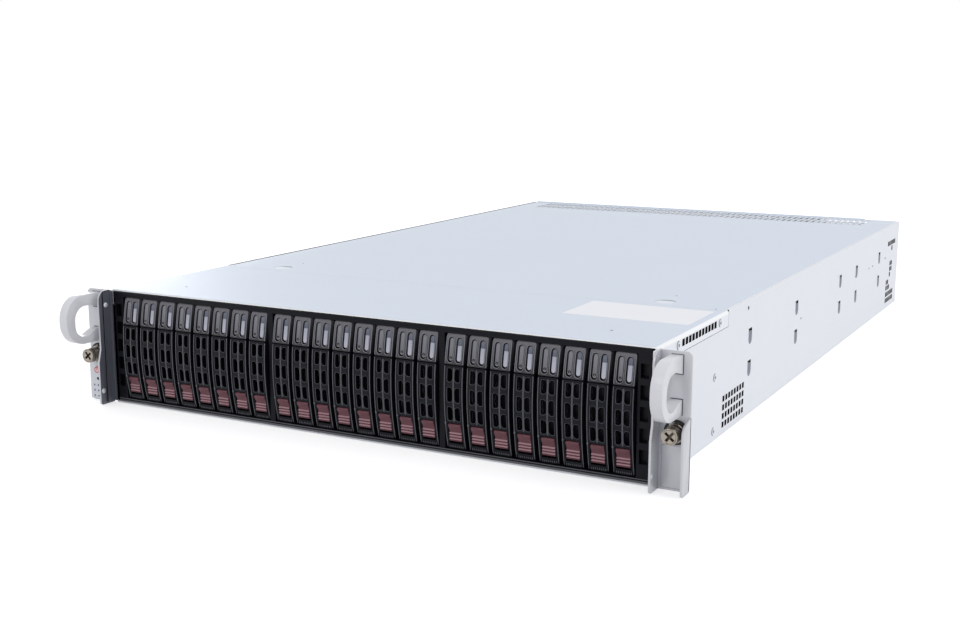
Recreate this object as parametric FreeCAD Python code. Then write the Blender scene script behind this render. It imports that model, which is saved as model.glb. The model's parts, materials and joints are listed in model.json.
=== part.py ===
"""Rack server, 2U high, with twenty-four hot-swap drives: every piece as its own solid, in millimetres.

X runs across the rack, Y from the front to the back and Z up. The pieces are drawn with Y = 0 at the
front face of the drive bay frame and Z = 0 at the underside of the chassis. They are written out with
the origin under the middle of the whole server.
"""
import FreeCAD, Part
import math
import os
from FreeCAD import Vector

# Rack standard
RACK_WIDTH = 482.6
RACK_HOLE_INSET = 8.75      # from the ear's outer edge to the screw
RACK_SCREW_RADIUS = 2.5
SCREW_Z = 37.5

# Chassis
BODY_INSET = 22.8           # from the ear's outer edge to the side wall
BODY_WIDTH = RACK_WIDTH - 2 * BODY_INSET
BODY_HEIGHT = 88.0
BODY_DEPTH = 730.0
SHEET = 1.2
GAP = 0.3                   # between pieces that move past, or are slipped into, each other
TUB_FRONT = 0.8
COVER_FRONT = 1.0
COVER_SEAM = 133.0          # back edge of the fixed front cover
COVER_FLANGE_HEIGHT = 11.5
COVER_OVERLAP = 5.0         # how far the front cover's flange reaches behind the seam
COVER_FLANGE_END = COVER_SEAM + COVER_OVERLAP
COVER_TRAVEL = 13.0
REAR_LIP_HEIGHT = 0.9

# Drive bay
TRAYS_PER_GROUP = 8
GROUPS = 3
GROUP_GAP = 3.6
FRAME_DEPTH = 12.0
FRAME_INSET = 3.0           # from the chassis' side to the bay frame
FRAME_WIDTH = BODY_WIDTH - 2 * FRAME_INSET
BAY_POST = 8.5              # between the frame's side and the first tray's space
TRAY_SPACE = 1.95           # between neighbouring trays
TRAY_PITCH = (FRAME_WIDTH - 2 * BAY_POST - (GROUPS - 1) * GROUP_GAP) / (GROUPS * TRAYS_PER_GROUP)
TRAY_WIDTH = TRAY_PITCH - TRAY_SPACE
TRAY_BOTTOM = 5.0
TRAY_HEADROOM = 5.5
TRAY_HEIGHT = BODY_HEIGHT - TRAY_BOTTOM - TRAY_HEADROOM
TRAY_BULGE = 3.5            # how far the middle of a tray's face stands in front of the frame
TRAY_EDGE_SETBACK = 1.5     # how far the ends of a tray's face lie behind the frame's front
TRAY_WALL = 2.4
CAGE_END = 116.0
RAIL_HEIGHT = 3.725
RAIL_PLAY = 0.1
DRIVE_SIDE_PLAY = 0.3
DRIVE_SIZE = Vector(TRAY_WIDTH - 2 * DRIVE_SIDE_PLAY, 100.0, TRAY_HEIGHT - 2 * (RAIL_HEIGHT + RAIL_PLAY))
DRIVE_FRONT = 9.0
BACKPLANE_Y = CAGE_END + 2.0
BOARD_THICKNESS = 1.6

# Rack ears
EAR_OFFSET = 3.2            # from the side wall to the outer face of the ear's inner flange
EAR_SHEET = 1.5
EAR_INSET = 0.6             # from the chassis' top and bottom to the ear's
EAR_TOP = BODY_HEIGHT - EAR_INSET
EAR_BOTTOM = EAR_INSET
EAR_REACH_TOP = 11.7
EAR_REACH_LOW = 14.3
EAR_LIP_TOP = SCREW_Z + 2.5
HANDLE_REACH = 36.5
HANDLE_TOP = EAR_TOP - 2.0
HANDLE_BOTTOM = SCREW_Z + 10.9
HANDLE_WIDTH = 7.5
HANDLE_THICKNESS = 8.4
PANEL_FRONT = 3.5
PANEL_TOP = SCREW_Z - 6.5

# Fans
FAN_HEADROOM = 8.0
FAN_SIZE = BODY_HEIGHT - FAN_HEADROOM
FAN_DEPTH = 38.0
FAN_Y = 226.0
FAN_COUNT = 3
FAN_BLADES = 7
FAN_SIDE_SPACE = 20.5       # between the outer fans' spaces and the chassis' side
FAN_SPACING = (BODY_WIDTH - 2 * FAN_SIDE_SPACE) / FAN_COUNT

# Power supplies
PSU_HEADROOM = 8.8
PSU_SIZE = Vector(74.0, 318.0, (BODY_HEIGHT - PSU_HEADROOM) / 2)
PSU_SIDE_SPACE = 3.1
PSU_RIGHT = BODY_WIDTH / 2 - SHEET - PSU_SIDE_SPACE
PSU_LEFT = PSU_RIGHT - PSU_SIZE.x
PSU_SHELF = 1.0
PSU_FAN_RADIUS = PSU_SIZE.z / 2 - 2.8
PSU_FAN_HUB = 8.0
PSU_FAN_BLADES = 5
PSU_HANDLE_REACH = 26.0

# Boards
BOARD_X = (-BODY_WIDTH / 2 + 28.5, PSU_LEFT - 25.2)
BOARD_Y = (BODY_DEPTH - 334.0, BODY_DEPTH - 4.0)
BOARD_Z = 8.0
HEATSINK_SIZE = Vector(90.0, 92.0, BODY_HEIGHT - 26.0)
HEATSINK_X = (BOARD_X[0] + 78.0, BOARD_X[1] - 79.0)
HEATSINK_Y = BOARD_Y[0] + 44.0

FRONT_REACH = HANDLE_REACH
REAR_REACH = BODY_DEPTH + PSU_HANDLE_REACH
ORIGIN_Y = (REAR_REACH - FRONT_REACH) / 2


# ---------------------------------------------------------------- drawing helpers
def box(x, y, z):
    """Block between the pairs of limits x, y and z."""
    size = [abs(pair[1] - pair[0]) for pair in (x, y, z)]
    return Part.makeBox(size[0], size[1], size[2], Vector(min(x), min(y), min(z)))


def cylinder(radius, start, axis, length):
    """True round bar from the point start along axis."""
    return Part.makeCylinder(radius, length, Vector(*start), Vector(*axis))


def many_sided(radius, start, axis, length, sides=16):
    """Bar of many flat sides, for the round stretches that nothing runs or fits on."""
    angles = [2 * math.pi * (index + 0.5) / sides for index in range(sides)]
    corners = [(radius * math.cos(angle), radius * math.sin(angle)) for angle in angles]
    x, y, z = start
    if axis == (0, 1, 0):
        return extrude_y([(x + u, z + v) for u, v in corners], (y, y + length))
    return extrude_z([(x + u, y + v) for u, v in corners], (z, z + length))


def outline(points, place):
    """Closed wire through (u, v) or (u, v, corner radius) points, put in space by place(u, v)."""
    corners = [(p[0], p[1], p[2] if len(p) > 2 else 0.0) for p in points]
    edges = []
    ends = []
    for index, (u, v, radius) in enumerate(corners):
        here = Vector(u, v, 0)
        before = Vector(*corners[index - 1][:2], 0)
        after = Vector(*corners[(index + 1) % len(corners)][:2], 0)
        if radius == 0:
            ends.append((here, here, here))
            continue
        inward = (before - here).normalize()
        onward = (after - here).normalize()
        half = inward.getAngle(onward) / 2
        reach = radius / math.tan(half)
        bisector = (inward + onward).normalize()
        centre = here + bisector * (radius / math.sin(half))
        ends.append((here + inward * reach, centre - bisector * radius, here + onward * reach))
    for index, (start, middle, end) in enumerate(ends):
        following = ends[(index + 1) % len(ends)][0]
        if (end - start).Length > 1e-6:
            edges.append(Part.Arc(place(*start[:2]), place(*middle[:2]), place(*end[:2])).toShape())
        if (following - end).Length > 1e-6:
            edges.append(Part.LineSegment(place(*end[:2]), place(*following[:2])).toShape())
    return Part.Wire(edges)


def extrude_x(points, x):
    """Outline in (y, z), drawn out between the limits x."""
    face = Part.Face(outline(points, lambda u, v: Vector(min(x), u, v)))
    return face.extrude(Vector(abs(x[1] - x[0]), 0, 0))


def extrude_y(points, y):
    """Outline in (x, z), drawn out between the limits y."""
    face = Part.Face(outline(points, lambda u, v: Vector(u, min(y), v)))
    return face.extrude(Vector(0, abs(y[1] - y[0]), 0))


def extrude_z(points, z):
    """Outline in (x, y), drawn out between the limits z."""
    face = Part.Face(outline(points, lambda u, v: Vector(u, v, min(z))))
    return face.extrude(Vector(0, 0, abs(z[1] - z[0])))


def rectangle(x, y, radius=0.0):
    """Corner points of a rectangle, for the extrude functions."""
    return [(x[0], y[0], radius), (x[1], y[0], radius), (x[1], y[1], radius), (x[0], y[1], radius)]


def moved(shape, x=0.0, y=0.0, z=0.0):
    copy = shape.copy()
    copy.translate(Vector(x, y, z))
    return copy


def mirrored(shape):
    """The same piece on the other side of the server."""
    return shape.mirror(Vector(0, 0, 0), Vector(1, 0, 0))


def fused(pieces):
    return pieces[0].multiFuse(pieces[1:]).removeSplitter()


def cut(body, tools):
    return body.cut(Part.makeCompound(tools))


def group(pieces):
    """Separate solids that belong to one named piece."""
    return Part.makeCompound(pieces)


def save(name, shape):
    shape.translate(Vector(0, -ORIGIN_Y, 0))
    shape.exportStep("parts/" + name + ".step")


# ---------------------------------------------------------------- values that several pieces share
HALF_WIDTH = BODY_WIDTH / 2
WALL_INNER = HALF_WIDTH - SHEET
FLOOR_TOP = SHEET
ROOF = BODY_HEIGHT - SHEET
FLANGE_BOTTOM = BODY_HEIGHT - COVER_FLANGE_HEIGHT
TRAY_TOP = TRAY_BOTTOM + TRAY_HEIGHT
TRAY_COUNT = TRAYS_PER_GROUP * GROUPS
HALF_RACK = RACK_WIDTH / 2
SCREW_X = HALF_RACK - RACK_HOLE_INSET
EAR_FLANGE_X = HALF_WIDTH + EAR_OFFSET
POST_INSET = 0.8            # play of a group of trays in its opening
REAR_PANEL_Y = (BODY_DEPTH - SHEET, BODY_DEPTH)
PSU_BOTTOMS = (FLOOR_TOP + GAP, FLOOR_TOP + GAP + PSU_SIZE.z + PSU_SHELF + 2 * GAP)


def tray_centre(index):
    """X of tray number index, counted from zero at the left."""
    middle = (TRAY_COUNT - 1) / 2
    return (index - middle) * TRAY_PITCH + (index // TRAYS_PER_GROUP - (GROUPS - 1) / 2) * GROUP_GAP


def group_limits(group_index, margin=0.0):
    """Left and right limits of one group of trays, widened by margin."""
    first = tray_centre(group_index * TRAYS_PER_GROUP) - TRAY_WIDTH / 2 - margin
    last = tray_centre((group_index + 1) * TRAYS_PER_GROUP - 1) + TRAY_WIDTH / 2 + margin
    return first, last


# ---------------------------------------------------------------- chassis shell
HOOK_Y = (191.0, 318.5, BODY_DEPTH - 262.0, BODY_DEPTH - 197.0, BODY_DEPTH - 95.0)
HOOK_Z = (36.0, 60.0)
HOOK_WIDTH = 8.0
HOOK_HEIGHT = 10.0
HOOK_MOUTH = 2.4
SIDE_VENT_Y = COVER_SEAM - 2.3
SIDE_VENT_Z = 5.4
SIDE_VENT_PITCH = 6.4
SIDE_VENT_HEIGHT = 10.4
SIDE_VENT_WEB = 2.0
REAR_VENT_Y = BODY_DEPTH - 53.0
REAR_VENT_PITCH = 9.6


def rail_hook(y, z):
    """Cutter for the slot above a rail hook, which is bent out of the right wall's sheet."""
    return box((WALL_INNER - 1, HALF_WIDTH + 1), (y - HOOK_WIDTH / 2, y + HOOK_WIDTH / 2),
               (z + HOOK_HEIGHT / 2 - HOOK_MOUTH, z + HOOK_HEIGHT / 2))


def side_vent_grid():
    """Eight columns of two upright holes low in the right wall, behind the drive cage."""
    holes = []
    for column in range(8):
        for row in range(2):
            y = SIDE_VENT_Y + SIDE_VENT_PITCH * column
            z = SIDE_VENT_Z + (SIDE_VENT_HEIGHT + SIDE_VENT_WEB) * row
            holes.append(box((WALL_INNER - 1, HALF_WIDTH + 1), (y, y + SIDE_VENT_PITCH - SIDE_VENT_WEB),
                             (z, z + SIDE_VENT_HEIGHT)))
    return holes


def rear_vent_cluster():
    """Vents at the back of the right wall, grouped round the power supplies' own openings."""
    rows = ((BODY_HEIGHT - 22.0, 0.0, 4), (44.0, 14.0, 2), (36.0, 14.0, 2), (23.0, 0.0, 2), (14.5, 0.0, 4),
            (6.0, 0.0, 4))
    holes = []
    for z, start, count in rows:
        for column in range(count):
            y = REAR_VENT_Y + start + REAR_VENT_PITCH * column
            holes.append(box((WALL_INNER - 1, HALF_WIDTH + 1), (y, y + REAR_VENT_PITCH - 2.0), (z, z + 5.6)))
    return holes


def side_wall():
    """Right wall: low under the front cover's flange, full height behind it, jogged out to the ear."""
    profile = [(TUB_FRONT, 0.0), (BODY_DEPTH, 0.0), (BODY_DEPTH, BODY_HEIGHT),
               (COVER_FLANGE_END + GAP, BODY_HEIGHT), (COVER_FLANGE_END + GAP, FLANGE_BOTTOM - GAP),
               (TUB_FRONT, FLANGE_BOTTOM - GAP)]
    wall = extrude_x(profile, (WALL_INNER, HALF_WIDTH))
    return cut(wall, [rail_hook(y, z) for y in HOOK_Y for z in HOOK_Z])


def ear_tab():
    """Front end of the side wall, stepped outward and forward against the ear's inner flange."""
    inner = EAR_FLANGE_X - EAR_SHEET - SHEET
    top = FLANGE_BOTTOM - GAP
    back = TUB_FRONT + SHEET
    step = box((WALL_INNER, inner + SHEET), (TUB_FRONT, back), (2.0, top))
    tab = box((inner, inner + SHEET), (-EAR_REACH_TOP + 3.5, back), (2.0, top))
    return [step, tab]


def chassis_tub():
    floor = box((-HALF_WIDTH, HALF_WIDTH), (TUB_FRONT, BODY_DEPTH), (0.0, SHEET))
    right = fused([cut(side_wall(), side_vent_grid() + rear_vent_cluster())] + ear_tab())
    left = mirrored(fused([side_wall()] + ear_tab()))
    return fused([floor, right, left])


COVER_SLOTS = 11
COVER_SLOT_PITCH = 6.3


def front_cover():
    """Fixed cover over the drives, with a vented flange down each side."""
    top = box((-HALF_WIDTH, HALF_WIDTH), (COVER_FRONT, COVER_SEAM), (ROOF, BODY_HEIGHT))
    flange = box((WALL_INNER, HALF_WIDTH), (COVER_FRONT, COVER_FLANGE_END), (FLANGE_BOTTOM, BODY_HEIGHT))
    slots = []
    for column in range(COVER_SLOTS):
        y = COVER_SEAM - 88.7 + COVER_SLOT_PITCH * column
        slots.append(box((WALL_INNER - 1, HALF_WIDTH + 1), (y, y + COVER_SLOT_PITCH - 1.5),
                         (BODY_HEIGHT - 8.0, BODY_HEIGHT - 3.4)))
    flange = cut(flange, slots)
    return fused([top, flange, mirrored(flange)])


TAB_RADIUS = 7.4
TAB_X = HALF_WIDTH - 50.0
TAB_Y = COVER_SEAM + 15.0
VENT_COLUMNS = 16
VENT_PITCH = (BODY_WIDTH - 53.0) / VENT_COLUMNS
VENT_START = BODY_DEPTH - 54.0
VENT_LENGTH = 20.0
VENT_BRIDGE = 4.5


def vent_strip():
    """Two rows of slots that let the air out at the back of the sliding cover."""
    holes = []
    for row in range(2):
        for column in range(VENT_COLUMNS):
            x = (column - (VENT_COLUMNS - 1) / 2) * VENT_PITCH
            y = VENT_START + (VENT_LENGTH + VENT_BRIDGE) * row
            half = (VENT_PITCH - VENT_BRIDGE) / 2
            holes.append(box((x - half, x + half), (y, y + VENT_LENGTH), (ROOF - 1, BODY_HEIGHT + 1)))
    return holes


def top_cover():
    """Sliding cover: a flat plate with a small upturned lip, and a flange strip welded inside each edge."""
    front = COVER_SEAM + GAP
    back = BODY_DEPTH - 0.5
    edge = WALL_INNER - GAP
    plate = box((-edge, edge), (front, back), (ROOF, BODY_HEIGHT))
    flange_y = (COVER_FLANGE_END + 8.0, back - COVER_TRAVEL - 3.0)
    flange = box((edge - SHEET, edge), flange_y, (ROOF - 8.0, ROOF))
    lip = box((-edge + 2.0, edge - 35.0), (back - SHEET, back), (ROOF, BODY_HEIGHT + REAR_LIP_HEIGHT))
    holes = [many_sided(TAB_RADIUS + GAP, (side * TAB_X, TAB_Y, ROOF - 1), (0, 0, 1), 4) for side in (-1, 1)]
    return group([fused([cut(plate, holes + vent_strip()), lip]), flange, mirrored(flange)])


def cover_release(side):
    """Round press tab with a shallow finger hollow and the catch under it."""
    x = side * TAB_X
    disc = many_sided(TAB_RADIUS, (x, TAB_Y, ROOF - 0.6), (0, 0, 1), SHEET + 0.5)
    hollow = many_sided(TAB_RADIUS - 1.6, (x, TAB_Y, BODY_HEIGHT - 0.8), (0, 0, 1), 2)
    catch = box((x - 4.0, x + 4.0), (TAB_Y - 5.0, TAB_Y + 3.0), (ROOF - 4.0, ROOF - 0.5))
    return fused([cut(disc, [hollow]), catch])


# ---------------------------------------------------------------- drive bay
NOTCHES = 5


def drive_bay_frame():
    """Black front frame: a surround with one opening for each group of trays."""
    half = FRAME_WIDTH / 2
    frame = box((-half, half), (0.0, FRAME_DEPTH), (FLOOR_TOP + GAP, ROOF - GAP))
    pitch = (TRAY_HEIGHT - 10.0) / NOTCHES
    openings = []
    for index in range(GROUPS):
        low, high = group_limits(index, POST_INSET)
        openings.append(box((low, high), (-1, FRAME_DEPTH + 1), (TRAY_BOTTOM - 0.4, TRAY_TOP + 0.4)))
    notches = []
    outer = group_limits(GROUPS - 1, POST_INSET)[1]
    for step in range(NOTCHES):
        z = TRAY_BOTTOM + 9.0 + pitch * step
        notch = box((outer + 2.2, half - 1.6), (-1, 2.2), (z, z + pitch - 4.5))
        notches += [notch, mirrored(notch)]
    return cut(frame, openings + notches)


def drive_cage():
    """Cage that guides the trays: grooved floor and roof, side walls and walls between the groups."""
    half = FRAME_WIDTH / 2
    y = (FRAME_DEPTH, CAGE_END)
    floor_z = (FLOOR_TOP + GAP, TRAY_BOTTOM - GAP)
    roof_z = (TRAY_TOP + GAP, ROOF - GAP)
    pieces = [box((-half, half), y, floor_z), box((-half, half), y, roof_z)]
    pieces += [box((side * half, side * (half - 2.0)), y, (floor_z[0], roof_z[1])) for side in (-1, 1)]
    rib = (TRAY_PITCH - TRAY_WIDTH) / 2 - GAP
    for index in range(TRAY_COUNT - 1):
        x = (tray_centre(index) + tray_centre(index + 1)) / 2
        if (index + 1) % TRAYS_PER_GROUP == 0:
            pieces.append(box((x - 1.0, x + 1.0), y, (floor_z[0], roof_z[1])))
        else:
            pieces.append(box((x - rib, x + rib), y, (floor_z[1] - 0.1, floor_z[1] + 6.0)))
            pieces.append(box((x - rib, x + rib), y, (roof_z[0] - 6.0, roof_z[0] + 0.1)))
    return fused(pieces)


def backplane():
    """Circuit board behind the drives, cut away for air, with one socket for each drive."""
    half = FRAME_WIDTH / 2 - 10.5
    back = BACKPLANE_Y + 2.4
    board = box((-half, half), (BACKPLANE_Y, back), (FLOOR_TOP + GAP, BODY_HEIGHT - 4.0))
    windows = []
    for index in range(GROUPS):
        low, high = group_limits(index)
        windows.append(box((low + 4, high - 4), (BACKPLANE_Y - 1, BACKPLANE_Y + 4),
                           (BODY_HEIGHT - 30.0, BODY_HEIGHT - 12.0)))
    sockets = []
    for index in range(TRAY_COUNT):
        x = tray_centre(index)
        sockets.append(box((x - 3.5, x + 3.5), (BACKPLANE_Y - 6.0, BACKPLANE_Y), (12.0, BODY_HEIGHT - 34.0)))
    power = []
    for index in range(FAN_COUNT):
        x = (index - 1) * (FAN_SPACING - 12.0)
        power.append(box((x - 12, x + 12), (back, back + 11.6), (14.0, 24.0)))
    return group([cut(board, windows)] + sockets + power)


# ---------------------------------------------------------------- drive trays
LEVER_TOP = TRAY_TOP - 20.3
LATCH_Z = (TRAY_BOTTOM + 5.2, TRAY_BOTTOM + 18.0)
LATCH_WIDTH = TRAY_WIDTH - 5.0
PIPE_Z = (LEVER_TOP + 2.0, TRAY_TOP - 2.5)
PIPE_WIDTH = TRAY_WIDTH / 5
PIPE_SPACING = PIPE_WIDTH + 2.7
GRILLE_RIB = 1.2
GRILLE_REACH = TRAY_WIDTH / 2 - 2.3
ROW_SHARES = (11.8, 13.5, 13.0)
ROW_SCALE = (LEVER_TOP - LATCH_Z[1] - 0.9) / sum(ROW_SHARES)
FACE_KNEES = [TRAY_BOTTOM] + [LATCH_Z[1] + 0.9 + ROW_SCALE * sum(ROW_SHARES[:row]) for row in range(3)]
GRILLE_ROWS = ((FACE_KNEES[1] + 0.5, FACE_KNEES[2] - 1.5), (FACE_KNEES[2] + 1.5, FACE_KNEES[3] - 1.6),
               (FACE_KNEES[3] + 1.6, LEVER_TOP - 2.3))
LEVER_TRAVEL_GAP = 0.35
LEVER_HEAD = TRAY_WALL / 2      # radius of the lever's rounded head, about its pivot
CAP_BOTTOM = LEVER_TOP + LEVER_TRAVEL_GAP


def face_y(z):
    """Y of a tray's bowed front face at height z."""
    middle = TRAY_BOTTOM + TRAY_HEIGHT / 2
    share = (z - middle) / (TRAY_HEIGHT / 2)
    return -TRAY_BULGE + (TRAY_BULGE + TRAY_EDGE_SETBACK) * share * share


def flat_face_y(z):
    """Y of the cap's flat front, drawn between its lower and upper edges, at height z."""
    share = (z - CAP_BOTTOM) / (TRAY_TOP - CAP_BOTTOM)
    return face_y(CAP_BOTTOM) + share * (face_y(TRAY_TOP) - face_y(CAP_BOTTOM))


def bowed_strip(x, z_values, thickness, inset=0.0, head=0.0):
    """Strip of a tray's front between the limits x, flat between the heights z_values.

    A head above zero cuts that much off both corners of its top end.
    """
    front = [(face_y(z) + inset, z) for z in z_values]
    back = [(y + thickness, z) for y, z in reversed(front)]
    if head > 0:
        y, z = front.pop()
        back.pop(0)
        front += [(y, z - head), (y + head / 2, z)]
        back = [(y + thickness - head / 2, z), (y + thickness, z - head)] + back
    return extrude_x(front + back, x)


def grille_hole(x, z, turn):
    """Tall hole between the heights z, beside the lever's rib on the side given by turn."""
    return box((x + turn * GRILLE_RIB / 2, x + turn * GRILLE_REACH), (-TRAY_BULGE - 2, 8.0), z)


def tray_lever(x):
    """Bowed lever with six grille holes, three on either side of a rib."""
    half = TRAY_WIDTH / 2
    lever = bowed_strip((x - half, x + half), FACE_KNEES + [LEVER_TOP], TRAY_WALL, head=LEVER_HEAD)
    return cut(lever, [grille_hole(x, row, turn) for row in GRILLE_ROWS for turn in (-1, 1)])


def lever_head(x):
    """Rounded top end of the lever, about the axis on which it swings."""
    pivot_y = face_y(LEVER_TOP) + LEVER_HEAD
    return cylinder(LEVER_HEAD, (x - TRAY_WIDTH / 2, pivot_y, LEVER_TOP - LEVER_HEAD), (1, 0, 0), TRAY_WIDTH)


def latch_opening(x):
    """Opening at the lever's foot in which the latch works."""
    return box((x - LATCH_WIDTH / 2 - GAP, x + LATCH_WIDTH / 2 + GAP), (-TRAY_BULGE - 2, 8.0),
               (LATCH_Z[0] - GAP, LATCH_Z[1] + GAP))


def tray_latch(x):
    """Release latch with a smooth upper half and two grip ridges below."""
    low, high = LATCH_Z
    front = face_y(low) - 0.2
    step = 2.4
    points = [(front + 2.9, low), (front, low)]
    for ridge in range(2):
        z = low + step * (ridge + 1)
        points += [(front - 0.5, z - 0.5), (front + 0.3, z)]
    points += [(face_y(high) - 0.1, high - 0.6), (face_y(high) + 3.6, high - 0.6)]
    return extrude_x(points, (x - LATCH_WIDTH / 2, x + LATCH_WIDTH / 2))


def light_pipe(x):
    """Clear window on the cap, over one of the tray's status lights."""
    half = PIPE_WIDTH / 2
    y = flat_face_y(PIPE_Z[0]) - 0.6
    slope = flat_face_y(PIPE_Z[1]) - flat_face_y(PIPE_Z[0])
    profile = [(y, PIPE_Z[0]), (y + 0.6, PIPE_Z[0]), (y + 0.6 + slope, PIPE_Z[1]), (y + slope, PIPE_Z[1])]
    return extrude_x(profile, (x - half, x + half))


CARRIER_FRONT = 4.6
RAIL_INSET = 0.2


def tray_carrier(x):
    """Carrier: the cap that holds the lights, a front wall behind the lever, and two long rails."""
    half = TRAY_WIDTH / 2
    cap = bowed_strip((x - half, x + half), (CAP_BOTTOM, TRAY_TOP), DRIVE_FRONT - GAP - TRAY_EDGE_SETBACK)
    rail_end = DRIVE_FRONT + DRIVE_SIZE.y
    sides = (x - half + RAIL_INSET, x + half - RAIL_INSET)
    rails = [box(sides, (CARRIER_FRONT, rail_end), (z, z + RAIL_HEIGHT))
             for z in (TRAY_BOTTOM, TRAY_TOP - RAIL_HEIGHT)]
    wall = box(sides, (CARRIER_FRONT, DRIVE_FRONT - GAP), (TRAY_BOTTOM, TRAY_TOP))
    return fused([cap, wall] + rails)


def drive(x):
    """Drive standing on its side between the carrier's rails."""
    low = TRAY_BOTTOM + (TRAY_HEIGHT - DRIVE_SIZE.z) / 2
    return box((x - DRIVE_SIZE.x / 2, x + DRIVE_SIZE.x / 2), (DRIVE_FRONT, DRIVE_FRONT + DRIVE_SIZE.y - GAP),
               (low, low + DRIVE_SIZE.z))


def tray_fixed_solids(x):
    pipes = [light_pipe(x + side * PIPE_SPACING / 2) for side in (-1, 1)]
    return [tray_carrier(x), drive(x)] + pipes


# ---------------------------------------------------------------- rack ears
def ear_flange_outline():
    """Side view of the ear's inner flange: it steps forward beside the thumbscrew."""
    return [(0.0, EAR_BOTTOM), (-EAR_REACH_LOW + 2.0, EAR_BOTTOM), (-EAR_REACH_LOW, EAR_BOTTOM + 2.0),
            (-EAR_REACH_LOW, SCREW_Z - 5.0), (-EAR_REACH_TOP, SCREW_Z + 6.5), (-EAR_REACH_TOP, EAR_TOP - 7.0),
            (-EAR_REACH_TOP + 2.0, EAR_TOP - 2.0), (-EAR_REACH_TOP + 7.0, EAR_TOP), (0.0, EAR_TOP)]


def ear_right(lip):
    """Folded ear: inner flange, web with the screw's hole and, where lip is true, an outer flange."""
    inner = extrude_x(ear_flange_outline(), (EAR_FLANGE_X - EAR_SHEET, EAR_FLANGE_X))
    web_points = rectangle((EAR_FLANGE_X - EAR_SHEET, HALF_RACK), (EAR_BOTTOM, EAR_TOP))
    web_points[2:3] = [(HALF_RACK, EAR_TOP - 3.0), (HALF_RACK - 3.0, EAR_TOP)]
    web = extrude_y(web_points, (-EAR_SHEET, 0.0))
    web = cut(web, [many_sided(6.8, (SCREW_X, -5, SCREW_Z), (0, 1, 0), 10, sides=12)])
    pieces = [inner, web]
    if lip:
        side = [(0.0, EAR_BOTTOM), (-EAR_REACH_LOW + 1.3, EAR_BOTTOM),
                (-EAR_REACH_LOW + 1.3, EAR_LIP_TOP), (-EAR_REACH_LOW + 5.0, EAR_LIP_TOP + 5.0),
                (0.0, EAR_LIP_TOP + 8.0)]
        pieces.append(extrude_x(side, (HALF_RACK - EAR_SHEET, HALF_RACK)))
    return fused(pieces)


def handle_right():
    """D-shaped pull handle whose arms widen into the feet on the ear's web."""
    back = -EAR_SHEET
    inner_top = HANDLE_TOP - HANDLE_THICKNESS
    inner_bottom = HANDLE_BOTTOM + HANDLE_THICKNESS - 2.0
    inner_front = -HANDLE_REACH + HANDLE_THICKNESS
    outer = min(17.0, (HANDLE_TOP - HANDLE_BOTTOM) / 2 - 0.5)
    inner = min(10.0, (inner_top - inner_bottom) / 2 - 0.5)
    points = [(back, HANDLE_TOP), (-HANDLE_REACH, HANDLE_TOP, outer), (-HANDLE_REACH, HANDLE_BOTTOM, outer),
              (back, HANDLE_BOTTOM), (back, inner_bottom + 3.0), (-14.0, inner_bottom),
              (inner_front, inner_bottom, inner), (inner_front, inner_top, inner), (-14.0, inner_top),
              (back, inner_top - 3.0)]
    x = SCREW_X - 0.5
    return extrude_x(points, (x - HANDLE_WIDTH / 2, x + HANDLE_WIDTH / 2))


def thumbscrew(x):
    """Captive screw: knurled head with a cross recess, a sleeve in the ear's hole and the threaded end."""
    head_front = -14.0
    head_back = -4.6
    radius = 5.4
    facets = 16
    rim = []
    for step in range(facets):
        reach = radius if step % 2 == 0 else radius - 0.5
        angle = 2 * math.pi * step / facets
        rim.append((x + reach * math.cos(angle), SCREW_Z + reach * math.sin(angle)))
    head = extrude_y(rim, (head_front, head_back))
    cross = [box((x - 3.2, x + 3.2), (head_front - 1, head_front + 1.6), (SCREW_Z - 0.6, SCREW_Z + 0.6)),
             box((x - 0.6, x + 0.6), (head_front - 1, head_front + 1.6), (SCREW_Z - 3.2, SCREW_Z + 3.2))]
    sleeve = many_sided(6.2, (x, head_back, SCREW_Z), (0, 1, 0), 5.6, sides=12)
    end = cylinder(RACK_SCREW_RADIUS, (x, 0.5, SCREW_Z), (0, 1, 0), 14.0)
    return fused([cut(head, cross), sleeve, end])


POWER_X = -EAR_FLANGE_X - 11.7
POWER_Z = PANEL_TOP - 6.4
POWER_RADIUS = 2.7
RESET_Z = POWER_Z - 7.0
RESET_RADIUS = 1.1
LIGHT_SPACING = Vector(3.9, 0.0, 4.2)
LIGHT_HALF = 0.6


def control_panel():
    """Cover over the control board in the left ear, with holes for two buttons and six lights."""
    x = (-HALF_RACK, -EAR_FLANGE_X - GAP)
    panel = box(x, (-PANEL_FRONT, -EAR_SHEET), (EAR_BOTTOM + 1.0, PANEL_TOP))
    holes = [many_sided(POWER_RADIUS + GAP, (POWER_X, -6, POWER_Z), (0, 1, 0), 8),
             many_sided(RESET_RADIUS + GAP, (POWER_X, -6, RESET_Z), (0, 1, 0), 8, sides=8)]
    for column in range(2):
        for row in range(3):
            x = POWER_X - LIGHT_SPACING.x * column
            z = RESET_Z - 5.2 - LIGHT_SPACING.z * row
            holes.append(box((x - LIGHT_HALF, x + LIGHT_HALF), (-6, -PANEL_FRONT + 0.8),
                             (z - LIGHT_HALF, z + LIGHT_HALF)))
    return cut(panel, holes)


def push_button(z, radius, stand, sides):
    """Round button in the control panel, standing out of its face by stand."""
    return many_sided(radius, (POWER_X, -PANEL_FRONT - stand, z), (0, 1, 0), stand + 0.9, sides=sides)


# ---------------------------------------------------------------- fans
def fan_x(index):
    return (index - (FAN_COUNT - 1) / 2) * FAN_SPACING


FAN_BOTTOM = FLOOR_TOP + SHEET + GAP
FAN_CENTRE_Z = FAN_BOTTOM + FAN_SIZE / 2
FAN_BORE = FAN_SIZE / 2 - 2.0
HUB_RADIUS = 17.0
SHAFT_RADIUS = 2.0
SHAFT_PLAY = 0.2


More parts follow.
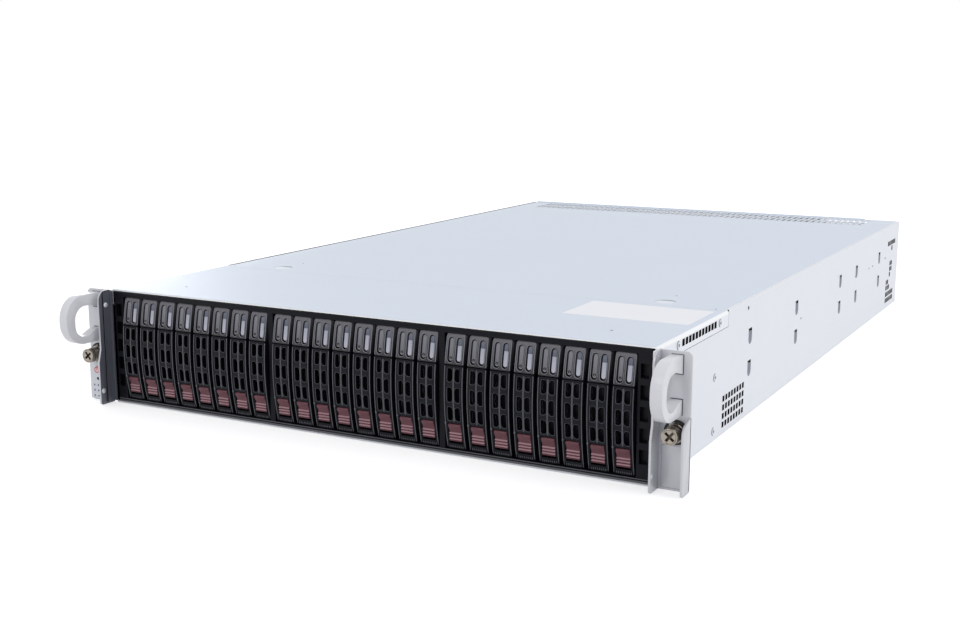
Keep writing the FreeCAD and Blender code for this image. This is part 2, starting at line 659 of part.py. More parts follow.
def fan_frame(x, y, z, size, bore, depth, hub):
    """Square fan housing whose four struts hold the bearing boss at the back."""
    half = size / 2
    frame = box((x - half, x + half), (y, y + depth), (z - half, z + half))
    frame = cut(frame, [many_sided(bore, (x, y - 1, z), (0, 1, 0), depth + 2)])
    boss = many_sided(hub * 0.8, (x, y + depth - 4.0, z), (0, 1, 0), 4.0, sides=8)
    strut = hub * 0.12
    struts = [box((x - bore - 0.5, x + bore + 0.5), (y + depth - 3.0, y + depth), (z - strut, z + strut)),
              box((x - strut, x + strut), (y + depth - 3.0, y + depth), (z - bore - 0.5, z + bore + 0.5))]
    bearing = many_sided(SHAFT_RADIUS + SHAFT_PLAY, (x, y + depth - 5.0, z), (0, 1, 0), 6.0, sides=8)
    return cut(fused([frame, boss] + struts), [bearing])


def rotor(centre, start, hub, tip, length, chord, pitch, blade_count):
    """Hub with pitched blades about the Y axis through centre; the blades end at the radius tip."""
    x, y, z = centre
    pieces = [many_sided(hub, (x, y + start, z), (0, 1, 0), length, sides=12)]
    blade = box((hub * 0.9, tip), (-chord / 2, chord / 2), (-0.7, 0.7))
    blade.rotate(Vector(0, 0, 0), Vector(1, 0, 0), pitch)
    blade.translate(Vector(x, y + start + length / 2, z))
    for index in range(blade_count):
        copy = blade.copy()
        copy.rotate(Vector(x, 0, z), Vector(0, 1, 0), 360.0 * index / blade_count)
        pieces.append(copy)
    return pieces


def fan_rotor(x, y, z):
    """Hub, pitched blades and the shaft that runs in the frame's bearing boss."""
    length = FAN_DEPTH - 8.0
    shaft_start = 3.0 + length - 0.5
    shaft = cylinder(SHAFT_RADIUS, (x, y + shaft_start, z), (0, 1, 0), FAN_DEPTH - shaft_start - 0.5)
    pieces = rotor((x, y, z), 3.0, HUB_RADIUS, FAN_BORE - 3.5, length, length * 0.8, 35, FAN_BLADES)
    return fused(pieces + [shaft])


def fan_wall():
    """Sheet-metal bracket across the chassis: a floor flange and a wall with a window for each fan."""
    width = FAN_COUNT * FAN_SPACING
    wall_y = (FAN_Y - SHEET - GAP, FAN_Y - GAP)
    wall = box((-width / 2, width / 2), wall_y, (FLOOR_TOP, ROOF - 2.0))
    windows = [many_sided(FAN_BORE - 1, (fan_x(index), FAN_Y - 5, FAN_CENTRE_Z), (0, 1, 0), 8)
               for index in range(FAN_COUNT)]
    foot = box((-width / 2, width / 2), (wall_y[0], FAN_Y + FAN_DEPTH), (FLOOR_TOP, FLOOR_TOP + SHEET))
    pieces = [cut(wall, windows), foot]
    for index in range(FAN_COUNT - 1):
        x = (fan_x(index) + fan_x(index + 1)) / 2
        pieces.append(box((x - 0.6, x + 0.6), (wall_y[0], FAN_Y + FAN_DEPTH), (FLOOR_TOP, ROOF - 10.0)))
    return fused(pieces)


# ---------------------------------------------------------------- boards and cooling
PORTS = ((85.0, 16.0, 16.0), (65.0, 16.0, 14.0), (45.0, 16.0, 14.0), (135.0, 38.0, 13.0), (25.0, 6.0, 8.0))


def motherboard():
    """Board on its standoffs, with processor sockets, memory slots, chipset and rear connectors."""
    top = BOARD_Z + BOARD_THICKNESS
    pieces = [box(BOARD_X, BOARD_Y, (BOARD_Z, top))]
    for x in (BOARD_X[0] + 8, (BOARD_X[0] + BOARD_X[1]) / 2, BOARD_X[1] - 8):
        for y in (BOARD_Y[0] + 8, BOARD_Y[1] - 24):
            pieces.append(many_sided(3.0, (x, y, FLOOR_TOP), (0, 0, 1), BOARD_Z - FLOOR_TOP, sides=6))
    for x in HEATSINK_X:
        pieces.append(box((x - 26, x + 26), (HEATSINK_Y + 20, HEATSINK_Y + 72), (top, top + 4)))
    for x in memory_places():
        pieces.append(box((x - 2.4, x + 2.4), (HEATSINK_Y - 22, HEATSINK_Y + 118), (top, top + 5)))
    middle = BOARD_X[1] - 115.0
    pieces.append(box((middle - 20, middle + 20), (BOARD_Y[1] - 106, BOARD_Y[1] - 66), (top, top + 9)))
    for inset, width, height in PORTS:
        low = BOARD_X[1] - inset
        pieces.append(box((low, low + width), (BOARD_Y[1] - 18, BODY_DEPTH + 0.4), (top, top + height)))
    return group(pieces)


def memory_places():
    """X of each memory module: four on each side of each processor."""
    half = HEATSINK_SIZE.x / 2
    places = []
    for x in HEATSINK_X:
        for side in (-1, 1):
            places += [x + side * (half - 14 + 9.0 * index) for index in range(2, 5)]
    return [x for x in places if BOARD_X[0] + 4 < x < BOARD_X[1] - 4]


def memory_modules():
    """Memory modules standing in their slots."""
    base = BOARD_Z + BOARD_THICKNESS + 5
    y = (HEATSINK_Y - 19, HEATSINK_Y + 115)
    return group([box((x - 0.7, x + 0.7), y, (base, base + 28)) for x in memory_places()])


def cpu_heatsinks():
    """Two heatsinks: a base on the processor and a row of upright fins."""
    base = BOARD_Z + BOARD_THICKNESS + 4
    fins = 9
    width = 52.0
    sinks = []
    for x in HEATSINK_X:
        y = (HEATSINK_Y, HEATSINK_Y + HEATSINK_SIZE.y)
        pieces = [box((x - width / 2, x + width / 2), y, (base, base + 5))]
        for index in range(fins):
            place = x - width / 2 + 0.5 + index * (width - 1.0) / (fins - 1)
            pieces.append(box((place - 0.5, place + 0.5), y, (base + 4.9, base + HEATSINK_SIZE.z)))
        sinks.append(fused(pieces))
    return group(sinks)


def air_shroud():
    """Plastic duct that leads the air from the fans over the processors."""
    x = (BOARD_X[0] + 2, BOARD_X[1] - 2)
    y = (FAN_Y + FAN_DEPTH + 6, HEATSINK_Y + HEATSINK_SIZE.y + 30)
    top = ROOF - 3.0
    roof = box(x, y, (top - 1.5, top))
    sides = [box((edge, edge + 1.5 * turn), y, (BOARD_Z + 8, top)) for edge, turn in ((x[0], 1), (x[1], -1))]
    feet = [box((edge, edge + 1.5 * turn), (y[0], BOARD_Y[0] - 2), (FLOOR_TOP + GAP, BOARD_Z + 9))
            for edge, turn in ((x[0], 1), (x[1], -1))]
    return fused([roof] + sides + feet)


# ---------------------------------------------------------------- back of the server
SLOT_PITCH = 20.32
SLOT_LEFT = -HALF_WIDTH + 16.5
SLOT_Z = (6.0, BODY_HEIGHT - 6.0)
PORTS_X = (BOARD_X[1] - 155.0, BOARD_X[1] + 3.0)
PORTS_Z = (BOARD_Z, BODY_HEIGHT - 36.0)
SLOT_COUNT = int((PORTS_X[0] - 6.0 - SLOT_LEFT) / SLOT_PITCH)
REAR_SLOT_PITCH = 16.0
REAR_SLOTS = 10


def rear_panel():
    """Back wall up to the power supplies, with windows for ports and cards and a cover over each slot."""
    panel = box((-WALL_INNER + GAP, PSU_LEFT - GAP), REAR_PANEL_Y, (FLOOR_TOP, ROOF - GAP))
    windows = [box(PORTS_X, (BODY_DEPTH - 3, BODY_DEPTH + 1), PORTS_Z)]
    covers = []
    for index in range(SLOT_COUNT):
        x = SLOT_LEFT + SLOT_PITCH * index
        windows.append(box((x, x + 14.0), (BODY_DEPTH - 3, BODY_DEPTH + 1), SLOT_Z))
        covers.append(box((x - 2.0, x + 16.0), (REAR_PANEL_Y[0] - 0.9, REAR_PANEL_Y[0]),
                          (SLOT_Z[0] - 2, SLOT_Z[1] + 1)))
    for index in range(REAR_SLOTS):
        x = PORTS_X[0] + REAR_SLOT_PITCH * index
        windows.append(box((x, x + REAR_SLOT_PITCH - 4.5), (BODY_DEPTH - 3, BODY_DEPTH + 1),
                           (PORTS_Z[1] + 6.0, BODY_HEIGHT - 8.0)))
    return group([cut(panel, windows)] + covers)


def psu_cage():
    """Wall beside the power supplies, the shelf between them and the board that they plug into."""
    front = BODY_DEPTH - PSU_SIZE.y - 12.0
    wall_x = (PSU_LEFT - GAP - SHEET, PSU_LEFT - GAP)
    y = (front, REAR_PANEL_Y[0])
    shelf_z = (PSU_BOTTOMS[0] + PSU_SIZE.z + GAP, PSU_BOTTOMS[1] - GAP)
    wall = box(wall_x, y, (FLOOR_TOP, ROOF - GAP))
    shelf = box((wall_x[0], WALL_INNER), y, shelf_z)
    board = box((wall_x[0], PSU_RIGHT), (front - 2.0, front), (FLOOR_TOP, ROOF - GAP))
    sockets = [box((PSU_LEFT + 18, PSU_RIGHT - 18), (front - 0.1, front + 8.0),
                   (z + 8, z + PSU_SIZE.z - 13.6)) for z in PSU_BOTTOMS]
    return fused([wall, shelf, board] + sockets)


PSU_FAN_X = 20.0            # places on the power supply's back, from its left edge and its underside
INLET_X = 51.5
INLET_Z = PSU_SIZE.z - 13.6
INLET_SIZE = (24.0, 16.0)
PSU_LATCH_Z = 8.0
HANDLE_X = 68.5


def psu_fan_place(bottom):
    return PSU_LEFT + PSU_FAN_X, BODY_DEPTH - 22.0, bottom + PSU_SIZE.z / 2


def psu_body(bottom):
    """Power supply: hollow behind its fan grille, with the mains inlet and a loop handle."""
    z = (bottom, bottom + PSU_SIZE.z)
    y = (BODY_DEPTH - PSU_SIZE.y, BODY_DEPTH + 1.0)
    case = box((PSU_LEFT, PSU_RIGHT), y, z)
    fan_x_place, fan_y, middle = psu_fan_place(bottom)
    chamber = many_sided(PSU_FAN_RADIUS + 1.2, (fan_x_place, fan_y, middle), (0, 1, 0), 21.5)
    inlet_x = PSU_LEFT + INLET_X
    inlet_z = bottom + INLET_Z
    inlet = extrude_y(rectangle((inlet_x - INLET_SIZE[0] / 2, inlet_x + INLET_SIZE[0] / 2),
                                (inlet_z - INLET_SIZE[1] / 2, inlet_z + INLET_SIZE[1] / 2)),
                      (BODY_DEPTH - 16.0, BODY_DEPTH + 2.0))
    socket = box((PSU_LEFT + 16, PSU_RIGHT - 16), (y[0] - 1, y[0] + 10),
                 (bottom + 6, bottom + PSU_SIZE.z - 11.6))
    bearing = many_sided(SHAFT_RADIUS + SHAFT_PLAY, (fan_x_place, fan_y - 6, middle), (0, 1, 0), 8, sides=8)
    latch_room = psu_latch_room(bottom)
    grille = []
    pitch = (2 * PSU_FAN_RADIUS - 6.0) / 4
    for index in range(4):
        offset = (index - 1.5) * pitch
        half = math.sqrt(PSU_FAN_RADIUS ** 2 - offset ** 2)
        grille.append(box((fan_x_place - half, fan_x_place + half), (fan_y + 20, y[1] + 1),
                          (middle + offset - pitch / 2 + 1.1, middle + offset + pitch / 2 - 1.1)))
    case = cut(case, [chamber, inlet, socket, bearing, latch_room] + grille)
    pins = [box((inlet_x + dx - 1.0, inlet_x + dx + 1.0), (BODY_DEPTH - 16.1, BODY_DEPTH - 4.0),
                (inlet_z + dz - 2.2, inlet_z + dz + 2.2))
             for dx, dz in ((-6.5, -2.0), (0.0, 2.2), (6.5, -2.0))]
    return group([fused([case] + pins), psu_handle(bottom)])


def psu_handle(bottom):
    """Loop handle standing out of the power supply's back."""
    x = PSU_LEFT + HANDLE_X
    middle = bottom + PSU_SIZE.z / 2
    face = BODY_DEPTH + 1.0
    tip = BODY_DEPTH + PSU_HANDLE_REACH
    corner = 4.0
    bar = 3.5
    half = PSU_SIZE.z / 2 - 4.8
    outer = [(face, -half), (tip - corner, -half), (tip, -half + corner), (tip, half - corner),
             (tip - corner, half), (face, half)]
    inner = [(face, half - bar), (tip - corner, half - bar), (tip - bar, half - corner),
             (tip - bar, -half + corner), (tip - corner, -half + bar), (face, -half + bar)]
    return extrude_x([(y, middle + z) for y, z in outer + inner], (x - 3.0, x + 3.0))


PSU_LATCH_SIZE = Vector(10.0, 17.0, 7.0)
PSU_LATCH_DEPTH = 9.0
PSU_LATCH_TRAVEL = 2.0


def psu_latch_limits(bottom):
    """Limits in x and z of the release latch under the inlet."""
    x = PSU_LEFT + INLET_X
    z = bottom + PSU_LATCH_Z
    half_x = PSU_LATCH_SIZE.x / 2
    half_z = PSU_LATCH_SIZE.z / 2
    return (x - half_x, x + half_x), (z - half_z, z + half_z)


def psu_latch_room(bottom):
    """Slot in the power supply's back in which the release latch moves sideways."""
    x, z = psu_latch_limits(bottom)
    return box((x[0] - PSU_LATCH_TRAVEL - GAP, x[1] + GAP), (BODY_DEPTH - PSU_LATCH_DEPTH, BODY_DEPTH + 2),
               (z[0] - GAP, z[1] + GAP))


def psu_latch(bottom):
    """Release latch, pressed away from the handle, with its front corners cut."""
    x, z = psu_latch_limits(bottom)
    back = BODY_DEPTH - PSU_LATCH_DEPTH + GAP
    tip = back + PSU_LATCH_SIZE.y
    return extrude_z([(x[0], back), (x[1], back), (x[1], tip - 3.0), (x[1] - 2.0, tip), (x[0], tip)], z)


def psu_fan(bottom):
    """Rotor of the power supply's fan, on a shaft in the case."""
    x, y, z = psu_fan_place(bottom)
    shaft = cylinder(SHAFT_RADIUS, (x, y - 4.0, z), (0, 1, 0), 5.5)
    pieces = rotor((x, y, z), 1.0, PSU_FAN_HUB, PSU_FAN_RADIUS - 1.2, 14.0, 12.0, 40, PSU_FAN_BLADES)
    return fused(pieces + [shaft])


# ---------------------------------------------------------------- writing the pieces out
def save_trays():
    working = TRAY_COUNT - 1
    for index in range(TRAY_COUNT):
        x = tray_centre(index)
        solids = tray_fixed_solids(x)
        if index == working:
            lever = fused([cut(tray_lever(x), [latch_opening(x)]), lever_head(x)])
            save("tray_lever_%02d" % (index + 1), lever)
            save("tray_latch_%02d" % (index + 1), tray_latch(x))
        else:
            solids.append(fused([tray_lever(x), tray_latch(x)]))
        save("drive_tray_%02d" % (index + 1), group(solids))


def save_fans():
    frames = []
    for index in range(FAN_COUNT):
        place = (fan_x(index), FAN_Y, FAN_CENTRE_Z)
        frames.append(fan_frame(*place, FAN_SIZE, FAN_BORE, FAN_DEPTH, HUB_RADIUS))
        save("fan_rotor_%d" % (index + 1), fan_rotor(*place))
    save("fan_frames", group(frames))
    save("fan_wall", fan_wall())


def save_power_supplies():
    for name, bottom in zip(("lower", "upper"), PSU_BOTTOMS):
        save("psu_" + name, psu_body(bottom))
        save("psu_latch_" + name, psu_latch(bottom))
        save("psu_fan_" + name, psu_fan(bottom))
    save("psu_cage", psu_cage())


os.makedirs("parts", exist_ok=True)
save("chassis_tub", chassis_tub())
save("front_cover", front_cover())
save("top_cover", top_cover())
save("cover_release_left", cover_release(-1))
save("cover_release_right", cover_release(1))
save("drive_bay_frame", drive_bay_frame())
save("drive_cage", drive_cage())
save("backplane", backplane())
save("ear_right", ear_right(lip=True))
save("ear_left", mirrored(ear_right(lip=False)))
save("handle_right", handle_right())
save("handle_left", mirrored(handle_right()))
save("thumbscrew_right", thumbscrew(SCREW_X))
save("thumbscrew_left", thumbscrew(-SCREW_X))
save("control_panel", control_panel())
save("power_button", push_button(POWER_Z, POWER_RADIUS, 0.9, sides=16))
save("reset_button", push_button(RESET_Z, RESET_RADIUS, -0.4, sides=8))
save("rear_panel", rear_panel())
save("motherboard", motherboard())
save("cpu_heatsinks", cpu_heatsinks())
save("memory_modules", memory_modules())
save("air_shroud", air_shroud())
save_trays()
save_fans()
save_power_supplies()
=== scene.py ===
# %% [markdown]
# # A 2U rack server with twenty-four drive trays
#
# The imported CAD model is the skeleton: it says where every piece sits and how it moves. This lesson
# dresses it. The sheet-metal shell, the trays with their grilles, the ears, handles and screws are
# modelled here in finer detail and stand for their CAD nodes; what hides inside the case keeps its
# CAD mesh and only gets a finish.
#
# Everything is drawn in millimetres with Y = 0 at the front face of the drive bay, because that is
# how the maker's drawing would read. One helper at the end of each piece turns it into metres.

# %% Load the frame
import json
import math

import bmesh
import bpy
from mathutils import Matrix, Vector


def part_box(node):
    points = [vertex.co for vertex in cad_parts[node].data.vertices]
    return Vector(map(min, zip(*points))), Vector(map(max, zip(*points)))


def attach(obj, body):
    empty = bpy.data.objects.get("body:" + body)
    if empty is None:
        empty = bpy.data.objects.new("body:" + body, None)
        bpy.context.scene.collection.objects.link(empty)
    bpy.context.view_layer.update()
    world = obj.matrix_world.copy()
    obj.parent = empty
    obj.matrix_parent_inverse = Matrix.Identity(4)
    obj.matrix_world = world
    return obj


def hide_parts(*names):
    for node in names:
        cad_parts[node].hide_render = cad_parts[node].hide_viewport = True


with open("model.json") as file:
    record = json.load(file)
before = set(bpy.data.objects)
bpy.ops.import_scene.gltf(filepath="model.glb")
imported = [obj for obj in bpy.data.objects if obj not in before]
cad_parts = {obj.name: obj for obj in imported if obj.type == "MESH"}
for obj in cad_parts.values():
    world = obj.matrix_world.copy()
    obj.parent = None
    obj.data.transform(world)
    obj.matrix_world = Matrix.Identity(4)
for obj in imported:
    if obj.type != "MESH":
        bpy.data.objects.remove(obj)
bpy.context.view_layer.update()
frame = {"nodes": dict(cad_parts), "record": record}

MM = 0.001
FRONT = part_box("drive_bay_frame")[0].y


def limits(node):
    """Lowest and highest corner of a CAD node, in millimetres from the bay's front face."""
    low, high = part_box(node)
    shift = Vector((0, FRONT, 0))
    return (low - shift) / MM, (high - shift) / MM


# %% [markdown]
# ## Finishes
#
# A finish is a Principled shader with a little noise in it. Real sheet metal, moulded plastic and
# paint are never one flat colour: the tone drifts slowly, the gloss changes from place to place,
# and the surface has a grain that catches the light. Writing that maths as nodes by hand is long,
# so a small class wraps a socket, and plain Python arithmetic on it adds the Math nodes.

# %% A socket that can be added and multiplied
class Shade:
    """One output socket of a material."""

    def __init__(self, tree, output):
        self.tree = tree
        self.output = output

    def math(self, operation, first, second):
        return add_node(self.tree, "ShaderNodeMath", {"operation": operation}, {0: first, 1: second})

    def __add__(self, other):
        return self.math("ADD", self, other)

    def __mul__(self, other):
        return self.math("MULTIPLY", self, other)

    __radd__ = __add__
    __rmul__ = __mul__


def add_node(tree, kind, settings, sockets, output=0):
    """A node of that kind: its settings first, then a value or a Shade for each socket."""
    node = tree.nodes.new(kind)
    for key, value in settings.items():
        if key == "stops":
            ramp = node.color_ramp
            while len(ramp.elements) < len(value):
                ramp.elements.new(0.5)
            for element, (place, colour) in zip(ramp.elements, value):
                element.position = place
                element.color = colour
        else:
            setattr(node, key, value)
    for key, value in sockets.items():
        if isinstance(value, Shade):
            tree.links.new(value.output, node.inputs[key])
        else:
            node.inputs[key].default_value = value
    return Shade(tree, node.outputs[output])


def srgb(red, green, blue):
    """Linear colour of an sRGB triple given as 0 to 255."""
    tones = [value / 255 for value in (red, green, blue)]
    linear = [t / 12.92 if t <= 0.04045 else ((t + 0.055) / 1.055) ** 2.4 for t in tones]
    return (*linear, 1.0)


# %% One recipe for every finish
def finish(name, colour, roughness=0.5, metallic=0.0, drift=0.06, gloss_drift=0.08, grain=300.0, bump=0.1,
           stretch=(1, 1, 1), coat=0.0, ior=1.5, bands=None, axis=2):
    """A material whose tone and gloss drift slowly and whose grain is a fine bump.

    stretch pulls the grain along an axis, as rolling or brushing does. bands gives (place, colour) pairs
    from low to high along axis, in millimetres, for a piece whose colour changes on the way.
    """
    material = bpy.data.materials.new(name)
    material.use_nodes = True
    tree = material.node_tree
    shader = tree.nodes["Principled BSDF"]
    place = add_node(tree, "ShaderNodeTexCoord", {}, {}, output=3)
    slow = add_node(tree, "ShaderNodeTexNoise", {}, {"Vector": place, "Scale": 14.0, "Detail": 3.0})
    pulled = add_node(tree, "ShaderNodeMapping", {}, {"Vector": place, "Scale": stretch})
    fine = add_node(tree, "ShaderNodeTexNoise", {}, {"Vector": pulled, "Scale": grain, "Detail": 4.0})
    tone = slow * (2 * drift) + fine * drift + (1 - 1.5 * drift)
    base = colour[:3]
    if bands:
        low, high = bands[0][0], bands[-1][0]
        origin = FRONT / MM if axis == 1 else 0
        along = add_node(tree, "ShaderNodeSeparateXYZ", {}, {"Vector": place}, output=axis)
        share = (along * (1 / MM) + (-origin - low)) * (1 / (high - low))
        stops = [((value - low) / (high - low), shade) for value, shade in bands]
        base = add_node(tree, "ShaderNodeValToRGB", {"stops": stops}, {"Fac": share})
    tinted = add_node(tree, "ShaderNodeVectorMath", {"operation": "SCALE"}, {0: base, "Scale": tone})
    tree.links.new(tinted.output, shader.inputs["Base Color"])
    gloss = slow * gloss_drift + fine * gloss_drift + (roughness - gloss_drift)
    tree.links.new(gloss.output, shader.inputs["Roughness"])
    relief = add_node(tree, "ShaderNodeBump", {}, {"Strength": bump, "Distance": 0.0002, "Height": fine})
    tree.links.new(relief.output, shader.inputs["Normal"])
    shader.inputs["Metallic"].default_value = metallic
    shader.inputs["IOR"].default_value = ior
    shader.inputs["Coat Weight"].default_value = coat
    return material


# %% [markdown]
# Each row of the two tables below reads: name, colour, roughness, metallic, drift, gloss drift,
# grain and bump. The first table has one finish for each material slot of the record. Zinc plate
# is only a little metallic here: a fully metallic sheet would mirror the studio, while the passivated
# coat of the real one scatters most of the light.

# %% One finish for each material slot
CASE_TOP = limits("chassis_tub")[1].z
PSU_FACE = limits("chassis_tub")[1].y + 1.0
WALL_TONE = srgb(232, 234, 240)
# The tops of the covers are the wall's zinc in a bluish copy, a painted reflection of the sky.
COVER_SKY_TONE = srgb(213, 222, 235)
FINISHES = {
    "zinc_steel": finish("zinc_steel", WALL_TONE, 0.46, 0.12, 0.025, 0.06, 420, 0.06, (1, 0.12, 1)),
    "black_front": finish("black_front", srgb(17, 18, 24), 0.38, 0.0, 0.10, 0.08, 900, 0.12, ior=1.22),
    "cage_steel": finish("cage_steel", srgb(74, 77, 82), 0.45, 0.4, 0.05, 0.08, 500, 0.06),
    "green_board": finish("green_board", srgb(24, 74, 48), 0.45, 0.0, 0.12, 0.06, 700, 0.08),
    "ear_paint": finish("ear_paint", srgb(199, 200, 205), 0.36, 0.35, 0.03, 0.06, 900, 0.10),
    "handle_paint": finish("handle_paint", srgb(224, 224, 228), 0.36, 0.0, 0.025, 0.06, 800, 0.08, coat=0.15),
    "panel_plastic": finish("panel_plastic", srgb(222, 224, 230), 0.5, 0.0, 0.03, 0.05, 900, 0.08),
    "fan_plastic": finish("fan_plastic", srgb(26, 27, 29), 0.5, 0.0, 0.10, 0.06, 700, 0.10),
    "heatsink_aluminium": finish("heatsink_aluminium", srgb(190, 194, 200), 0.35, 0.8, 0.04, 0.06, 500, 0.05),
    "memory_board": finish("memory_board", srgb(20, 60, 42), 0.45, 0.0, 0.12, 0.06, 700, 0.08),
    "nickel": finish("nickel", srgb(158, 150, 140), 0.22, 0.9, 0.08, 0.08, 500, 0.04),
    "button_plastic": finish("button_plastic", srgb(206, 70, 74), 0.4, 0.0, 0.04, 0.05, 900, 0.06),
    "latch_plastic": finish("latch_plastic", srgb(104, 62, 71), 0.34, 0.0, 0.07, 0.08, 900, 0.08, ior=1.35),
    "tray_plastic": finish("tray_plastic", srgb(20, 21, 27), 0.36, 0.0, 0.10, 0.08, 1100, 0.12, ior=1.22),
}
print("finishes by slot", len(FINISHES))

# %% [markdown]
# A piece of one slot often shows a second tone: a painted highlight on an edge, painted shade in a mouth, a
# pale window. These finishes have names of their own. Bands change the colour of the cap on the way up, as
# painted light on its upper part, and of the windows; of the covers at their bend, as a painted highlight;
# and of a power supply between its case and its handle.

# %% Finishes for edges, windows and small parts
EXTRA = {
    # The cap is the tray's black plastic. Its upper part, which leans back, is painted lighter as the light
    # from above that falls on it.
    "cap": finish("tray_cap_grey", srgb(90, 90, 95), 0.34, 0.0, 0.06, 0.08, 1000, 0.10,
                  bands=[(62, srgb(26, 27, 32)), (66, srgb(44, 44, 49)), (75, srgb(74, 74, 79)),
                         (79, srgb(96, 95, 100)), (83, srgb(122, 121, 126))]),
    # The covers: bluish on top as a painted reflection of the sky, and near white at the bend down to the
    # flanges as a painted highlight.
    "cover": finish("cover_zinc_painted_sky_and_bend", COVER_SKY_TONE, 0.42, 0.25, 0.025, 0.08, 420, 0.06, (1, 0.12, 1),
                    bands=[(CASE_TOP - 3, WALL_TONE), (CASE_TOP - 1.9, srgb(252, 252, 253)),
                           (CASE_TOP - 0.35, srgb(250, 251, 253)), (CASE_TOP - 0.1, COVER_SKY_TONE)]),
    "psu": finish("psu_case_and_handle", WALL_TONE, 0.46, 0.1, 0.025, 0.06, 420, 0.06,
                  bands=[(PSU_FACE - 0.1, WALL_TONE), (PSU_FACE + 0.1, srgb(26, 27, 30))], axis=1),
    # The scoops are the wall's zinc, painted grey as the shade in their pockets.
    "scoop": finish("pressed_scoop_painted_shade", srgb(158, 161, 171), 0.46, 0.1, 0.04, 0.06, 420, 0.06),
    # Painted highlights on the tray: the lit rims and beads of the lever and the cap, the rims of the
    # grille's holes and its rib, and the lit upper sides of the latch's ridges.
    "edge": finish("tray_worn_edge", srgb(98, 99, 106), 0.30, 0.0, 0.08, 0.08, 700, 0.06),
    "arch": finish("cap_edge_painted_highlight", srgb(134, 134, 141), 0.30, 0.0, 0.08, 0.08, 700, 0.06),
    "rib": finish("tray_rib_grey", srgb(66, 67, 74), 0.32, 0.0, 0.08, 0.08, 700, 0.06),
    "ridge": finish("latch_ridge_painted_highlight", srgb(172, 134, 142), 0.30, 0.0, 0.06, 0.06, 900, 0.06),
    # Painted shade in the screw's cross recess and in the groove round its head.
    "recess": finish("screw_recess_painted_shade", srgb(78, 68, 60), 0.34, 0.5, 0.08, 0.08, 500, 0.06),
    # The wells behind the windows are painted near black as shade; the same black is the colour of the small
    # ring moulded into the left window.
    "slot_dark": finish("window_well_painted_shade_and_ring_black", srgb(12, 12, 15), 0.5, 0.0, 0.08, 0.05, 900, 0.05, ior=1.15),
    "pale_window": finish("status_window_pale", srgb(190, 190, 202), 0.25, 0.0, 0.05, 0.05, 600, 0.04,
                          bands=[(64, srgb(196, 196, 208)), (74.6, srgb(178, 180, 194)),
                                 (75.0, srgb(92, 97, 114)), (80, srgb(116, 120, 134))]),
    "grey_window": finish("status_window_grey", srgb(120, 120, 127), 0.3, 0.0, 0.06, 0.05, 600, 0.05,
                          bands=[(64, srgb(150, 148, 152)), (67, srgb(112, 112, 118)),
                                 (80, srgb(134, 134, 141))]),
    "label": finish("blank_label", srgb(246, 246, 250), 0.55, 0.0, 0.015, 0.03, 900, 0.04),
    "drive": finish("drive_case", srgb(176, 178, 182), 0.35, 0.7, 0.05, 0.08, 500, 0.05),
    "bar": finish("tray_steel_edge", srgb(150, 152, 160), 0.30, 0.6, 0.05, 0.08, 500, 0.05),
    # The grey of the frame's window edges is a painted highlight; on the lower bar's ridges it is partly the
    # bar's own dark grey and partly painted highlight.
    "frame_bar": finish("frame_bar_grey_and_painted_highlight", srgb(84, 85, 90), 0.34, 0.0, 0.08, 0.08, 800, 0.08),
    # The case's inner faces and the rims of its holes are painted near black as the shade inside the case.
    "inside": finish("case_inside_painted_shade", srgb(24, 25, 29), 0.6, 0.0, 0.05, 0.05, 400, 0.05, ior=1.2),
    # Bare steel on the inner side of the left ear and its tab, darkened as a painted dark reflection.
    "ear_dark": finish("ear_bare_steel_painted_dark_reflection", srgb(98, 100, 110), 0.34, 0.25, 0.05, 0.08, 500, 0.05, (1, 1, 0.1)),
    "rivet": finish("rivet_zinc", srgb(214, 216, 222), 0.30, 0.2, 0.04, 0.06, 600, 0.04),
    # Painted shade: the black of small holes, of a pinhole key and of the port mouths.
    "mark": finish("hole_painted_shade", srgb(18, 19, 22), 0.6, 0.0, 0.05, 0.04, 600, 0.04, ior=1.15),
    # On a rivet, this grey is painted shade on the flank round its head.
    "seam": finish("seam_grey_and_rivet_painted_shade", srgb(150, 154, 162), 0.5, 0.0, 0.05, 0.04, 600, 0.04),
    # Painted shadow: the dark gaps at the handles' feet and round the thumbscrews.
    "gap_shadow": finish("gap_painted_shadow", srgb(34, 34, 38), 0.6, 0.0, 0.06, 0.05, 900, 0.06),
    "ring": finish("power_ring_red", srgb(205, 58, 66), 0.4, 0.0, 0.04, 0.05, 900, 0.05),
    "ring_field": finish("power_field_pink", srgb(236, 206, 212), 0.4, 0.0, 0.04, 0.05, 900, 0.05),
    "lamp_off": finish("signal_lamp_blue", srgb(86, 92, 132), 0.3, 0.0, 0.06, 0.05, 900, 0.05),
}
print("further finishes", len(EXTRA))

# %% [markdown]
# ## Modelling helpers
#
# A server is made of few kinds of shape. Most pieces are blocks with rounded edges, or outlines
# drawn out to a thickness, as a moulding or a punched plate is. bmesh makes both with one operator
# and a bevel, which is quicker to change than a shape modelled by hand.

# %% Blocks and drawn-out outlines
def soften(bm, edges, width, segments=2):
    """Bevels the edges by width, unless it is zero."""
    if width > 0:
        bmesh.ops.bevel(bm, geom=list(edges), offset=width, offset_type="OFFSET", segments=segments,
                        profile=0.5, affect="EDGES", material=-1, clamp_overlap=True)


def add_block(bm, x, y, z, edge=0.0, segments=2):
    """A block between the pairs of limits, its edges rounded by edge."""
    centre = Vector([(pair[0] + pair[1]) / 2 for pair in (x, y, z)])
    size = [abs(pair[1] - pair[0]) for pair in (x, y, z)]
    matrix = Matrix.Translation(centre) @ Matrix.Diagonal((*size, 1))
    verts = bmesh.ops.create_cube(bm, size=1.0, matrix=matrix)["verts"]
    soften(bm, {e for v in verts for e in v.link_edges}, edge, segments)


